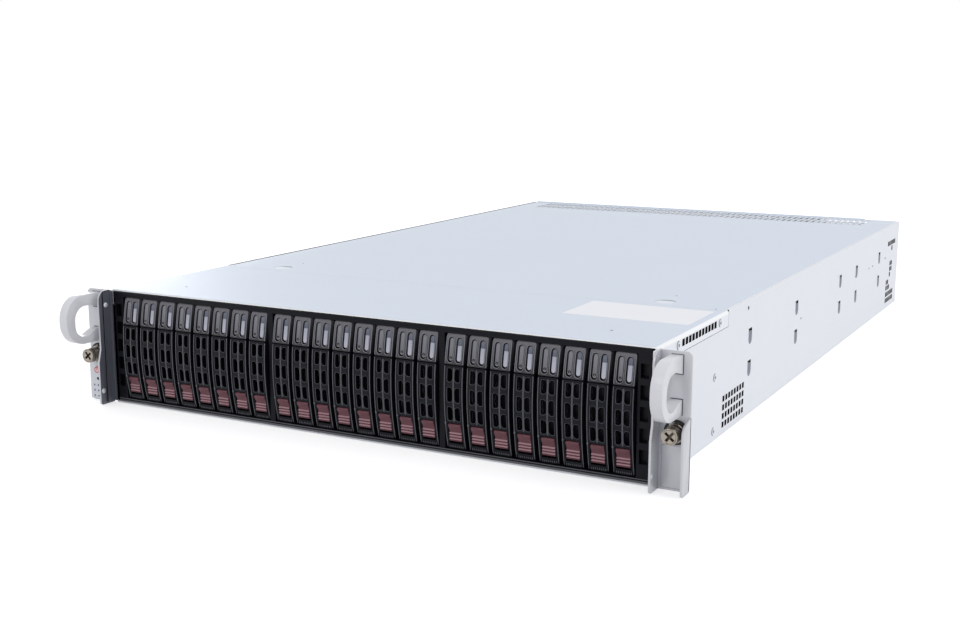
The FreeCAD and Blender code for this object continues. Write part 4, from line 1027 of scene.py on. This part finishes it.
CAP = build_cap()
CAP_EDGES = build_cap_edges()
WINDOWS = [build_window(side) for side in (-1, 1)]
WINDOW_MARK = build_window_mark()
WELL = build_well()
print("cap", size_of(CAP), len(CAP.faces))

# %% [markdown]
# Behind the face the carrier is an open frame: a rail above, a rail below and an upright plate
# between them, with the flat drive held inside. It shows only when a tray is pulled out.

# %% The carrier and the drive behind the face
RAIL = 3.6
PLATE_FRONT, PLATE_BACK = 5.6, 8.6
FOOT_RIB_COUNT = 8
FOOT_RIB_PITCH = 1.4


def build_carrier():
    bm = bmesh.new()
    half = (TRAY_HIGH.x - TRAY_LOW.x) / 2 - 0.2
    for z in ((TRAY_LOW.z, TRAY_LOW.z + RAIL), (TRAY_HIGH.z - RAIL, TRAY_HIGH.z)):
        add_block(bm, (-half, half), (PLATE_FRONT, TRAY_HIGH.y), z, 0.4)
    add_block(bm, (-half, half), (PLATE_FRONT, PLATE_BACK), (TRAY_LOW.z, TRAY_HIGH.z), 0.3)
    add_block(bm, (-5.6, 5.6), (1.0, PLATE_FRONT), (TRAY_LOW.z, TRAY_LOW.z + 1.6), 0.3)
    return outwards(bm)


def build_drive():
    bm = bmesh.new()
    z = (TRAY_LOW.z + RAIL + 0.2, TRAY_HIGH.z - RAIL - 0.2)
    add_block(bm, (-7.2, 7.2), (PLATE_BACK + 0.4, TRAY_HIGH.y - 0.4), z, 0.6)
    return outwards(bm)


def build_bar():
    """The thin bright steel edge under the latch."""
    bm = bmesh.new()
    z = TRAY_LOW.z + 3.3
    add_block(bm, (-4.8, 4.8), (face_y(z) + 0.2, face_y(z) + 1.6), (z - 0.25, z + 0.25), 0.1, 1)
    return outwards(bm)


def build_foot_ribs():
    """Fine ribs across the foot of the lever."""
    bm = bmesh.new()
    for index in range(FOOT_RIB_COUNT):
        x = FOOT_RIB_PITCH * (index - (FOOT_RIB_COUNT - 1) / 2)
        add_block(bm, (x - 0.25, x + 0.25), (-0.3, 0.4), (LEVER_LOW.z + 0.4, LEVER_LOW.z + 2.0), 0.1, 1)
    return outwards(bow(bm))


CARRIER = build_carrier()
DRIVE = build_drive()
BAR = build_bar()
FOOT_RIBS = build_foot_ribs()
print("carrier", size_of(CARRIER), "drive", size_of(DRIVE))

# %% [markdown]
# Each tray takes copies of these pieces. Where the CAD model has a lever and a latch that swing,
# those pieces ride on them; on the other trays they ride on the tray itself.

# %% Twenty-four trays in their places
TRAYS = GROUPS * TRAYS_IN_GROUP
ON_TRAY = (("drive", DRIVE, "cage_steel", EXTRA["drive"]),
           ("cap", CAP, "tray_plastic", EXTRA["cap"]),
           ("cap_edges", CAP_EDGES, "tray_plastic", EXTRA["arch"]),
           ("well", WELL, "tray_plastic", EXTRA["slot_dark"]),
           ("window_grey", WINDOWS[0], "panel_plastic", EXTRA["grey_window"]),
           ("window_pale", WINDOWS[1], "panel_plastic", EXTRA["pale_window"]),
           ("window_mark", WINDOW_MARK, "tray_plastic", EXTRA["slot_dark"]))
# The lever's beads and foot ribs carry a grey painted highlight.
ON_LEVER = (("lever_edges", LEVER_EDGES, "tray_plastic", EXTRA["edge"]),
            ("bar", BAR, "cage_steel", EXTRA["bar"]),
            ("foot_ribs", FOOT_RIBS, "tray_plastic", EXTRA["edge"]))
for number in range(1, TRAYS + 1):
    tray = "drive_tray_%02d" % number
    low, high = limits(tray)
    x = (low.x + high.x) / 2
    swings = "tray_lever_%02d" % number in frame["nodes"]
    lever_body = tray.replace("drive_tray", "tray_lever") if swings else tray
    latch_body = tray.replace("drive_tray", "tray_latch") if swings else tray
    hand_over(tray + "_carrier", copies(CARRIER, x), tray, "tray_plastic", stands_for=[tray])
    hand_over(tray + "_lever", copies(LEVER, x), lever_body, "tray_plastic",
              stands_for=[lever_body] if swings else (), second=(EXTRA["rib"], None))
    hand_over(tray + "_latch", copies(LATCH, x), latch_body, "latch_plastic",
              stands_for=[latch_body] if swings else (), second=(EXTRA["ridge"], on_ridge))
    for body, pieces in ((tray, ON_TRAY), (lever_body, ON_LEVER)):
        for part, source, slot, material in pieces:
            hand_over(tray + "_" + part, copies(source, x), body, slot, material)
for source in [LEVER, LATCH, CARRIER] + [entry[1] for entry in ON_TRAY + ON_LEVER]:
    source.free()

# %% [markdown]
# ## Ears, handles and thumbscrews
#
# The ears bolt the server to the rack. Each is a folded, painted plate: an inner flange that steps
# forward, a flat web with the screw's hole, and on the right a low outer flange. The pull handle is
# a heavy D whose edges are well rounded, so a wide bevel on a drawn-out outline makes it.

# %% The ears
EAR_LOW, EAR_HIGH = limits("ear_right")
HANDLE_LOW, HANDLE_HIGH = limits("handle_right")
SCREW_LOW, SCREW_HIGH = limits("thumbscrew_right")
SCREW_X = (SCREW_LOW.x + SCREW_HIGH.x) / 2
SCREW_Z = (SCREW_LOW.z + SCREW_HIGH.z) / 2
EAR_SHEET = 1.5
EAR_STEP = 2.6              # the flange is shallower above the screw than below it
SCREW_HOLE = 6.6
LIP_TOP = 48
QUARTER = Matrix.Rotation(math.pi / 2, 4, "X")


def build_ear(lip):
    """The right ear: a flange along the case, the flat web and, with lip, the low outer flange."""
    bm = bmesh.new()
    low, top = EAR_LOW.z, EAR_HIGH.z
    front = EAR_LOW.y
    inner_x = EAR_LOW.x
    side = rounded([(0, low, 0), (front, low, 2), (front, SCREW_Z - 4, 6),
                    (front + EAR_STEP, SCREW_Z + 5.5, 6), (front + EAR_STEP, top, 7), (0, top, 0)])
    add_outline(bm, [(inner_x, y, z) for y, z in side], (EAR_SHEET, 0, 0), 0.4)
    plate = rounded([(inner_x + 0.4, low, 0), (EAR_HIGH.x, low, 1),
                     (EAR_HIGH.x, top, 4), (inner_x + 0.4, top, 0)])
    web = bmesh.new()
    add_front_outline(web, plate, (-EAR_SHEET, 0), 0.35)
    cutter = bmesh.new()
    add_cylinder(cutter, Matrix.Translation((SCREW_X, 0, SCREW_Z)) @ QUARTER, SCREW_HOLE, 8, 40)
    carve(web, cutter)
    add_mesh_of(bm, web)
    if lip:
        reach = front + 1.3
        side = rounded([(0, low, 0), (reach, low, 2), (reach, LIP_TOP - 5, 6), (-0.2, LIP_TOP, 0)])
        add_outline(bm, [(EAR_HIGH.x - EAR_SHEET, y, z) for y, z in side], (EAR_SHEET, 0, 0), 0.4)
    print("ear", size_of(bm))
    return outwards(bm)


def other_side(bm):
    """The same bmesh mirrored to the other side of the case."""
    bmesh.ops.scale(bm, vec=(-1, 1, 1), verts=bm.verts)
    return outwards(bm)


# %% [markdown]
# The foot of the right ear is where a badge would sit. It stays bare: a low frame marks the place, with
# nothing in it. The inner side of the left ear, and of the tab behind it, is bare steel; it is drawn darker
# than the paint, as a painted dark reflection.

# %% The bare badge place and the left tab
def build_badge_place():
    """The bare place for a badge on the right ear: a low frame and nothing in it."""
    bm = bmesh.new()
    x = (EAR_LOW.x + 3.4, EAR_HIGH.x - EAR_SHEET - 1.0)
    z = (EAR_LOW.z + 1.6, SCREW_Z - 8.6)
    y = (-EAR_SHEET - 0.06, -EAR_SHEET + 0.4)
    for edge in x:
        add_block(bm, (edge - 0.12, edge + 0.12), y, z)
    for edge in z:
        add_block(bm, x, y, (edge - 0.12, edge + 0.12))
    return outwards(bm)


def build_tab_plate():
    """The bare inner side of the wall's tab behind the left ear, darkened as a painted dark reflection."""
    bm = bmesh.new()
    x = -(TUB_HIGH.x - SHEET)
    add_block(bm, (x - 0.1, x + 0.06), (TUB_LOW.y - 0.02, -0.3), (2.0, HEIGHT - 1.2))
    add_block(bm, (x - 0.1, -HALF + 1.6), (-1.56, -0.4), (2.0, HEIGHT - 0.9))
    return outwards(bm)


def on_inner_face(centre, normal):
    """Whether a face of the left ear looks towards the case, where the steel is bare and painted dark as a
    reflection.
    """
    return normal.x > 0.9 and centre.x > -EAR_LOW.x - 0.3


hand_over("ear_plate_right", build_ear(True), "chassis", "ear_paint", stands_for=["ear_right"])
hand_over("ear_plate_left", other_side(build_ear(False)), "chassis", "ear_paint", stands_for=["ear_left"],
          second=(EXTRA["ear_dark"], on_inner_face))
hand_over("tab_plate_left", build_tab_plate(), "chassis", "zinc_steel", EXTRA["ear_dark"])
hand_over("badge_place", build_badge_place(), "chassis", "ear_paint", EXTRA["seam"])

# %% [markdown]
# A pull handle is a cast D. One outline, drawn out sideways, holds all of its shape: the rounded nose, the
# gap for the fingers and the two thick feet. A thin dark plate under each foot is painted shadow in the gap
# between the foot and the ear.

# %% The pull handles
BAR_THICKNESS = 8.4


def build_handle():
    """The right handle, its D outline with the finger gap drawn out sideways."""
    back, tip = HANDLE_HIGH.y, HANDLE_LOW.y
    low, top = HANDLE_LOW.z, HANDLE_HIGH.z
    inner_low, inner_top = low + BAR_THICKNESS - 2.0, top - BAR_THICKNESS
    inner = tip + BAR_THICKNESS
    outline = rounded([(back, top, 0), (tip, top, 17), (tip, low, 17), (back, low, 0),
                       (back, inner_low + 3.4, 0), (-8, inner_low + 2.6, 3), (-16, inner_low - 1.0, 8),
                       (inner, inner_low - 0.4, 8.5), (inner, inner_top, 10), (-13, inner_top, 4),
                       (back, inner_top - 3.4, 0)], 8)
    bm = bmesh.new()
    width = HANDLE_HIGH.x - HANDLE_LOW.x
    add_outline(bm, [(HANDLE_LOW.x, y, z) for y, z in outline], (width, 0, 0), 1.4, 3)
    return outwards(bm)


def build_handle_foot_shadows():
    """A thin dark plate at each foot of the handle, painted shadow in the gap between it and the ear."""
    bm = bmesh.new()
    x = (HANDLE_LOW.x - 0.1, HANDLE_HIGH.x + 0.35)
    y = (-EAR_SHEET - 0.5, -EAR_SHEET)
    low, top = HANDLE_LOW.z, HANDLE_HIGH.z
    add_block(bm, x, y, (top - BAR_THICKNESS - 3.7, top + 0.3), 0.15, 1)
    add_block(bm, x, y, (low - 0.3, low + BAR_THICKNESS + 1.7), 0.15, 1)
    return outwards(bm)


for side, turned in (("right", False), ("left", True)):
    handle, foot_shadows = build_handle(), build_handle_foot_shadows()
    if turned:
        other_side(handle)
        other_side(foot_shadows)
    hand_over("pull_handle_" + side, handle, "chassis", "handle_paint", stands_for=["handle_" + side])
    hand_over("handle_gaskets_" + side, foot_shadows, "chassis", "black_front", EXTRA["gap_shadow"])

# %% [markdown]
# A captive thumbscrew holds each ear to the rack. Its nickel head and its sleeve are turned, so both
# are spun. The cross recess is carved one arm at a time, because a boolean fails on a cutter that
# crosses itself.

# %% The thumbscrews
HEAD_RADIUS = 5.4
HEAD_LENGTH = 8.0
GROOVE = (2.6, 4.1)         # where the groove round the head starts and ends
RECESS_TURN = 0.7
RECESS_ARM = (7.2, 5.6, 1.7)
THREAD_RADIUS = 2.5
THREAD_CHAMFER = 0.6


def build_screw():
    """A captive screw: the head with its cross recess, the collar, the sleeve and the threaded end."""
    head = SCREW_LOW.y
    length = SCREW_HIGH.y - head
    place = (SCREW_X, head, SCREW_Z)
    bm = bmesh.new()
    profile = [(0, 0.7), (3.9, 0.7), (4.2, 0.5), (4.5, 0.1), (4.8, 0), (5.2, 0.2), (HEAD_RADIUS, 0.7),
               (HEAD_RADIUS, GROOVE[0]), (4.9, 3.0), (4.9, 3.7), (HEAD_RADIUS, GROOVE[1]),
               (HEAD_RADIUS, HEAD_LENGTH), (0, HEAD_LENGTH)]
    add_spun(bm, profile, place, (0, 1, 0), 40)
    for angle in (RECESS_TURN, RECESS_TURN + math.pi / 2):
        turned = Matrix.Translation(place) @ Matrix.Rotation(angle, 4, "Y")
        arm = bmesh.new()
        bmesh.ops.create_cube(arm, size=1.0, matrix=turned @ Matrix.Diagonal((*RECESS_ARM, 1)))
        carve(bm, arm)
    profile = [(0, HEAD_LENGTH), (3.4, HEAD_LENGTH), (3.4, 9.4), (5.6, 9.5), (6.1, 9.9), (6.1, 14.3),
               (THREAD_RADIUS, 14.6), (THREAD_RADIUS, length - THREAD_CHAMFER),
               (THREAD_RADIUS - THREAD_CHAMFER, length), (0, length)]
    add_spun(bm, profile, place, (0, 1, 0), 40)
    print("screw", size_of(bm), len(bm.faces))
    return outwards(bm)


def in_recess(centre, normal):
    """Whether a face of the screw lies in the cross recess or in the groove round the head, which take a
    painted shade.
    """
    reach = math.hypot(abs(centre.x) - SCREW_X, centre.z - SCREW_Z)
    depth = centre.y - SCREW_LOW.y
    return (reach < 4.1 and 0.8 < depth < 4) or (reach < 5.35 and 2.7 < depth < 4.0)


def build_screw_shadow_ring():
    """A black ring behind the screw's collar, painted shadow round the screw."""
    bm = bmesh.new()
    profile = [(6.3, 0.9), (7.6, 0.9), (7.9, 0.5), (7.9, 0), (6.3, 0)]
    add_spun(bm, profile, (SCREW_X, -EAR_SHEET, SCREW_Z), (0, -1, 0), 40)
    return outwards(bm)


for side, turned in (("right", False), ("left", True)):
    screw, shadow_ring = build_screw(), build_screw_shadow_ring()
    if turned:
        other_side(screw)
        other_side(shadow_ring)
    hand_over("screw_" + side, screw, "thumbscrew_" + side, "nickel", stands_for=["thumbscrew_" + side],
              crease=25, second=(EXTRA["recess"], in_recess))
    hand_over("screw_seat_" + side, shadow_ring, "chassis", "black_front", EXTRA["gap_shadow"])

# %% [markdown]
# ## The control panel
#
# A white moulding below the left thumbscrew: a power button in a red ring, a small reset button and
# two columns of signal lamps. The keys are bodies of their own, so their pockets are wider than they
# are and deep enough for their stroke.

# %% The control panel
PANEL_LOW, PANEL_HIGH = limits("control_panel")
POWER_LOW, POWER_HIGH = limits("power_button")
RESET_LOW, RESET_HIGH = limits("reset_button")
LAMP_X = (PANEL_LOW.x + 4.0, PANEL_LOW.x + 7.9)
LAMP_Z = (12.4, 8.2, 4.0)
LAMPS = [(x, z) for x in LAMP_X for z in LAMP_Z]
POWER_POCKET, RESET_POCKET = 2.85, 1.25
POCKET_CUTTER = 3.9         # it stands half in front of the panel, so the pockets are half as deep


def middle_of(low, high):
    """X and Z of a key's middle."""
    return (low.x + high.x) / 2, (low.z + high.z) / 2


def build_panel():
    """The moulding, with a round pocket for each key and a square one for each lamp."""
    bm = bmesh.new()
    add_block(bm, (PANEL_LOW.x, PANEL_HIGH.x), (PANEL_LOW.y, PANEL_HIGH.y), (PANEL_LOW.z, PANEL_HIGH.z), 0.5)
    cutter = bmesh.new()
    for low, high, radius in ((POWER_LOW, POWER_HIGH, POWER_POCKET), (RESET_LOW, RESET_HIGH, RESET_POCKET)):
        x, z = middle_of(low, high)
        matrix = Matrix.Translation((x, PANEL_LOW.y, z)) @ QUARTER
        add_cylinder(cutter, matrix, radius, POCKET_CUTTER, 32)
    for x, z in LAMPS:
        add_block(cutter, (x - 0.7, x + 0.7), (PANEL_LOW.y - 1, PANEL_LOW.y + 0.8), (z - 0.7, z + 0.7))
    carve(bm, cutter)
    print("panel", size_of(bm))
    return outwards(bm)


def build_lamps():
    bm = bmesh.new()
    y = (PANEL_LOW.y + 0.1, PANEL_LOW.y + 0.9)
    for x, z in LAMPS:
        add_block(bm, (x - 0.65, x + 0.65), y, (z - 0.65, z + 0.65), 0.2, 1)
    return outwards(bm)


# %% The two keys
def build_key(low, high, edge, steps):
    """A round key between the corners of its CAD body, the rim of its face chamfered by edge."""
    x, z = middle_of(low, high)
    radius = (high.x - low.x) / 2
    length = high.y - low.y
    rim = [(radius - edge, length), (radius, length - edge)] if edge else [(radius, length)]
    profile = [(0, length), *rim, (radius, 0), (0, 0)]
    bm = bmesh.new()
    add_spun(bm, profile, (x, high.y, z), (0, -1, 0), steps)
    return outwards(bm)


def build_power_ring():
    """The red ring and the short bar of the common power mark."""
    x, z = middle_of(POWER_LOW, POWER_HIGH)
    bm = bmesh.new()
    place = (x, POWER_LOW.y, z)
    add_spun(bm, [(1.75, -0.1), (1.75, 0.06), (2.35, 0.06), (2.35, -0.1)], place, (0, -1, 0), 32)
    add_block(bm, (x - 0.28, x + 0.28), (POWER_LOW.y - 0.06, POWER_LOW.y + 0.1), (z - 0.2, z + 1.5))
    return outwards(bm)


hand_over("panel", build_panel(), "chassis", "panel_plastic", stands_for=["control_panel"])
hand_over("panel_lamps", build_lamps(), "chassis", "panel_plastic", EXTRA["lamp_off"])
hand_over("power_key", build_key(POWER_LOW, POWER_HIGH, 0.3, 32), "power_button", "button_plastic",
          EXTRA["ring_field"], stands_for=["power_button"])
hand_over("power_ring", build_power_ring(), "power_button", "button_plastic", EXTRA["ring"])
# The reset key sits in a pinhole; it is drawn black as the shade in the hole.
hand_over("reset_key", build_key(RESET_LOW, RESET_HIGH, 0, 20), "reset_button", "button_plastic",
          EXTRA["mark"], stands_for=["reset_button"])

# %% [markdown]
# ## Labels, rivets and punched holes
#
# The cover carries a white label at its right rear corner. It is left blank here. Rivets join the ears and
# the drive cage to the case, and a few small holes stay open where other models of the same case carry a
# screw. A hole that small needs no depth: a thin black disc, painted shade, stands for the dark inside of it.

# %% The blank label
LABEL_WIDTH, LABEL_LENGTH, LABEL_THICKNESS = 90.0, 53.5, 0.12
LABEL_EDGE = HALF - 6.5
LABEL_BACK = SEAM - 6.5


def build_label():
    bm = bmesh.new()
    add_block(bm, (LABEL_EDGE - LABEL_WIDTH, LABEL_EDGE), (LABEL_BACK - LABEL_LENGTH, LABEL_BACK),
              (HEIGHT, HEIGHT + LABEL_THICKNESS))
    print("label", size_of(bm))
    return outwards(bm)


hand_over("label_blank", build_label(), "chassis", "panel_plastic", EXTRA["label"])

# %% Where the rivets and holes are
# Those in a wall are given by Y and Z, the last ones with a radius. Those in the top by X and Y.
WALL_RIVETS = ((111.7, 45.6), (111.7, 7.7), (37.3, 82.0), (119.6, 82.0))
WALL_HOLES = ((184.5, 81.9, 1.4), (333.5, 48.8, 0.9), (528.0, 56.0, 0.8), (588.0, 55.8, 1.0),
              (605.0, 55.8, 1.0), (664.8, 56.3, 1.2))
TOP_HOLES = ((174.7, 34.3), (-174.7, 34.3), (209.6, 136.5), (-209.6, 136.5), (167.3, 174.5), (-167.3, 174.5))
EAR_RIVETS = ((-5.9, 76.7), (-11.4, 11.2))
FRONT_HOLE, REAR_HOLE = 0.9, 0.7            # radius of a hole in the top, ahead of the seam and behind it
RIVET_BORE = 0.8
print("rivets and holes", 2 * len(WALL_RIVETS + WALL_HOLES + EAR_RIVETS) + len(TOP_HOLES))


# %% Rivets and holes
def build_wall_rivets():
    """Blind rivets: a flat flange round a hollow middle."""
    bm = bmesh.new()
    profile = [(RIVET_BORE, -0.6), (RIVET_BORE, 0.3), (1.3, 0.55), (2.5, 0.5), (3.0, 0), (3.0, -0.2)]
    for side in (-1, 1):
        for y, z in WALL_RIVETS:
            add_spun(bm, profile, (side * HALF, y, z), (side, 0, 0), 24)
    return outwards(bm)


def build_holes():
    """Thin black discs as painted shade: in the hollow middle of each rivet and in the small open holes of
    the walls and the top.
    """
    bm = bmesh.new()
    for side in (-1, 1):
        for y, z in WALL_RIVETS:
            add_disc(bm, (side * (HALF + 0.1), y, z), (side, 0, 0), RIVET_BORE)
        for y, z, radius in WALL_HOLES:
            add_disc(bm, (side * HALF, y, z), (side, 0, 0), radius)
    for x, y in TOP_HOLES:
        add_disc(bm, (x, y, HEIGHT - 0.04), (0, 0, 1), FRONT_HOLE if y < SEAM else REAR_HOLE, 0.08)
    return bm


def build_ear_rivets():
    """Domed heads on the outer face of the right ear, and on the bare inner faces of the left."""
    bm = bmesh.new()
    for y, z in EAR_RIVETS:
        add_rivet(bm, (EAR_LOW.x + EAR_SHEET, y - 1.0, z), (1, 0, 0), 1.7, 0.7)
        on_tab = y > TUB_LOW.y
        inner = -(TUB_HIGH.x - SHEET) if on_tab else -EAR_LOW.x
        add_rivet(bm, (inner, y, z), (1, 0, 0), 2.0, 0.9)
    return outwards(bm)


def on_flank(centre, normal):
    """Whether a face of a rivet slopes away from its crown; these are painted grey as the thin shade round
    it.
    """
    return abs(normal.x) < 0.92


hand_over("wall_rivets", build_wall_rivets(), "chassis", "zinc_steel", second=(EXTRA["seam"], on_flank))
hand_over("punched_holes", build_holes(), "chassis", "zinc_steel", EXTRA["mark"])
hand_over("ear_rivets", build_ear_rivets(), "chassis", "nickel", EXTRA["rivet"])

# %% [markdown]
# ## The back
#
# A shield fills the port window, and each port is a steel shell round a dark mouth, painted black as the
# shade inside it. The inlets of the power supplies get their black lining, in which the three pins of the CAD
# body stand.

# %% Ports and inlets
BOARD_EDGE = limits("motherboard")[1].x
BOARD_TOP = 9.6
SHIELD_Z = (BOARD_TOP - 1.3, HEIGHT - 36.3)
SHELL = 0.3
# Each port: how far its left side lies from the board's edge, its width and its height.
PORTS = ((85.0, 16.0, 16.0), (65.0, 16.0, 14.0), (45.0, 16.0, 14.0), (135.0, 38.0, 13.0), (25.0, 6.0, 8.0))
DOUBLE_ROW = 30             # a port wider than this has two mouths, one over the other


def build_shield():
    bm = bmesh.new()
    add_block(bm, (BOARD_EDGE - 154.7, BOARD_EDGE + 2.7), (DEPTH - 1.3, DEPTH - 0.5), SHIELD_Z, 0.1, 1)
    return outwards(bm)


def build_port_shells():
    bm = bmesh.new()
    for inset, width, height in PORTS:
        x = BOARD_EDGE - inset
        z = (BOARD_TOP - SHELL, BOARD_TOP + height + SHELL)
        add_block(bm, (x - SHELL, x + width + SHELL), (DEPTH - 4, DEPTH + 0.6), z, 0.25)
    return outwards(bm)


def build_port_mouths():
    """The dark mouth of each port, painted black as the shade inside it; the wide one is a double row."""
    bm = bmesh.new()
    y = (DEPTH + 0.3, DEPTH + 0.66)
    for inset, width, height in PORTS:
        x = BOARD_EDGE - inset
        if width > DOUBLE_ROW:
            for z in (BOARD_TOP + 1.4, BOARD_TOP + height / 2 + 0.7):
                add_block(bm, (x + 2, x + width - 2), y, (z, z + height / 2 - 2.2), 0.1, 1)
        else:
            add_block(bm, (x + 1.4, x + width - 1.4), y, (BOARD_TOP + 1.4, BOARD_TOP + height - 1.4), 0.1, 1)
    return outwards(bm)


INLET_FROM_SIDE, INLET_FROM_TOP = 51.5, 13.6
INLET_HALF = (11.95, 7.95)
POCKET_HALF = (10.2, 6.2)
POCKET_CORNER = 3.8


def build_inlet(psu):
    """A socket's lining, whose pocket has its two upper corners cut off, so that a plug fits one way."""
    low, high = limits(psu)
    x, z = low.x + INLET_FROM_SIDE, high.z - INLET_FROM_TOP
    bm = bmesh.new()
    add_block(bm, (x - INLET_HALF[0], x + INLET_HALF[0]), (DEPTH - 15.5, DEPTH + 1.4),
              (z - INLET_HALF[1], z + INLET_HALF[1]), 0.3, 1)
    u, v = POCKET_HALF
    corners = [(-u, -v), (u, -v), (u, v - POCKET_CORNER), (u - POCKET_CORNER, v),
               (POCKET_CORNER - u, v), (-u, v - POCKET_CORNER)]
    pocket = rounded([(x + right, z + up, 1) for right, up in corners], 3)
    cutter = bmesh.new()
    add_front_outline(cutter, pocket, (DEPTH - 14, DEPTH + 3))
    carve(bm, outwards(cutter))
    return outwards(bm)


print("ports", len(PORTS))
hand_over("port_shield", build_shield(), "chassis", "zinc_steel", EXTRA["bar"])
hand_over("port_shells", build_port_shells(), "chassis", "zinc_steel", EXTRA["rivet"])
hand_over("port_mouths", build_port_mouths(), "chassis", "black_front", EXTRA["mark"])
for psu in ("psu_lower", "psu_upper"):
    hand_over(psu + "_inlet", build_inlet(psu), psu, "fan_plastic")

# %% [markdown]
# ## What stays as the CAD drew it
#
# The inner pieces, the rear panel and the power supplies keep their CAD meshes. Each takes the
# finish that its material slot names, apart from the power supplies, whose handles are black.

# %% Finish the CAD nodes
SLOT_OF = {entry["node"]: entry["material_slot"] for entry in frame["record"]["subparts"]}
SHOWN = {node: obj for node, obj in frame["nodes"].items() if not obj.hide_render}
for node, obj in SHOWN.items():
    for place in obj.material_slots:
        place.link = "OBJECT"
        place.material = EXTRA["psu"] if node in ("psu_lower", "psu_upper") else FINISHES[SLOT_OF[node]]
print("CAD nodes shown", sorted(SHOWN))

# %% [markdown]
# ## Studio
#
# A pale floor and a white surround, one broad lamp from the right, which leaves the right wall
# bright, a small one in front, and a low one behind on the left, whose sheen lies on the far side
# of the cover. Seen by the camera or in a reflection the surround is plain white, and the floor adds
# a little light of its own there, so that only the object's shadow shows on it.

# %% Floor and world
FLOOR_GLOW = 0.52
SKY_TINT, SKY_STRENGTH = (0.96, 0.975, 1.0, 1), 0.73
WHITE = (1, 1, 1, 1)


def seen_directly(tree):
    """1 for a ray from the camera or from a mirror-like or clear surface, otherwise 0."""
    path = tree.nodes.new("ShaderNodeLightPath")
    seen = Shade(tree, path.outputs["Is Camera Ray"])
    for kind in ("Is Glossy Ray", "Is Transmission Ray"):
        seen = seen.math("MAXIMUM", seen, Shade(tree, path.outputs[kind]))
    return seen


def build_floor():
    """A matt floor that glows only where it is seen, so that it looks white and lights nothing."""
    mesh = bpy.data.meshes.new("floor")
    bm = bmesh.new()
    bmesh.ops.create_grid(bm, x_segments=1, y_segments=1, size=6.0)
    bm.to_mesh(mesh)
    bm.free()
    floor = bpy.data.objects.new("floor", mesh)
    bpy.context.scene.collection.objects.link(floor)
    material = bpy.data.materials.new("floor")
    material.use_nodes = True
    tree = material.node_tree
    shader = tree.nodes["Principled BSDF"]
    shader.inputs["Base Color"].default_value = (0.8, 0.8, 0.8, 1)
    shader.inputs["Roughness"].default_value = 0.9
    shader.inputs["Emission Strength"].default_value = 1.0
    glow = seen_directly(tree) * FLOOR_GLOW
    colour = add_node(tree, "ShaderNodeCombineColor", {}, {"Red": glow, "Green": glow, "Blue": glow})
    tree.links.new(colour.output, shader.inputs["Emission Color"])
    mesh.materials.append(material)


def build_world():
    """A cool sky as the light, plain white where it is seen."""
    world = bpy.data.worlds.new("studio")
    bpy.context.scene.world = world
    world.use_nodes = True
    tree = world.node_tree
    ground = tree.nodes["Background"]
    seen = seen_directly(tree)
    sky = add_node(tree, "ShaderNodeMix", {"data_type": "RGBA"}, {0: seen, 6: SKY_TINT, 7: WHITE}, output=2)
    tree.links.new(sky.output, ground.inputs["Color"])
    strength = add_node(tree, "ShaderNodeMix", {"data_type": "FLOAT"}, {0: seen, 2: SKY_STRENGTH, 3: 1.0})
    tree.links.new(strength.output, ground.inputs["Strength"])


build_floor()
build_world()
print("world", bpy.context.scene.world.name)


# %% Lamps
def add_lamp(name, place, target, size, power):
    """A square lamp at place that looks at target: its side in metres, its power in watts."""
    lamp = bpy.data.lights.new(name, "AREA")
    lamp.size = size
    lamp.energy = power
    obj = bpy.data.objects.new(name, lamp)
    bpy.context.scene.collection.objects.link(obj)
    obj.location = place
    obj.rotation_euler = (Vector(target) - Vector(place)).to_track_quat("-Z", "Y").to_euler()


add_lamp("lamp_right", (2.6, -0.2, 1.6), (0, 0, 0.05), 2.0, 17)
add_lamp("lamp_front", (-0.6, -2.8, 1.8), (0, -0.3, 0.05), 1.0, 8)
add_lamp("lamp_back_left", (-3.1, 2.1, 0.75), (-0.2, 0, 0.05), 1.3, 13)
bpy.context.scene.view_settings.view_transform = "Standard"
print("lamps", len(bpy.data.lights))

# %% [markdown]
# ## Camera
#
# The camera stands close to the right front corner and a little above the case, so that the front,
# the cover and the long right wall all show. From so close, the wall narrows strongly to the rear.

# %% Camera
YAW, PITCH = 28.38, -11.03
LENS, SENSOR = 49.07, 36.0
CAMERA_PLACE = (0.48906, FRONT - 0.72397, 0.25385)
camera_data = bpy.data.cameras.new("camera")
camera_data.lens = LENS
camera_data.sensor_width = SENSOR
camera = bpy.data.objects.new("camera", camera_data)
bpy.context.scene.collection.objects.link(camera)
camera.location = CAMERA_PLACE
camera.rotation_euler = (math.radians(90 + PITCH), 0, math.radians(YAW))
bpy.context.scene.camera = camera
print("camera at", tuple(camera.location))
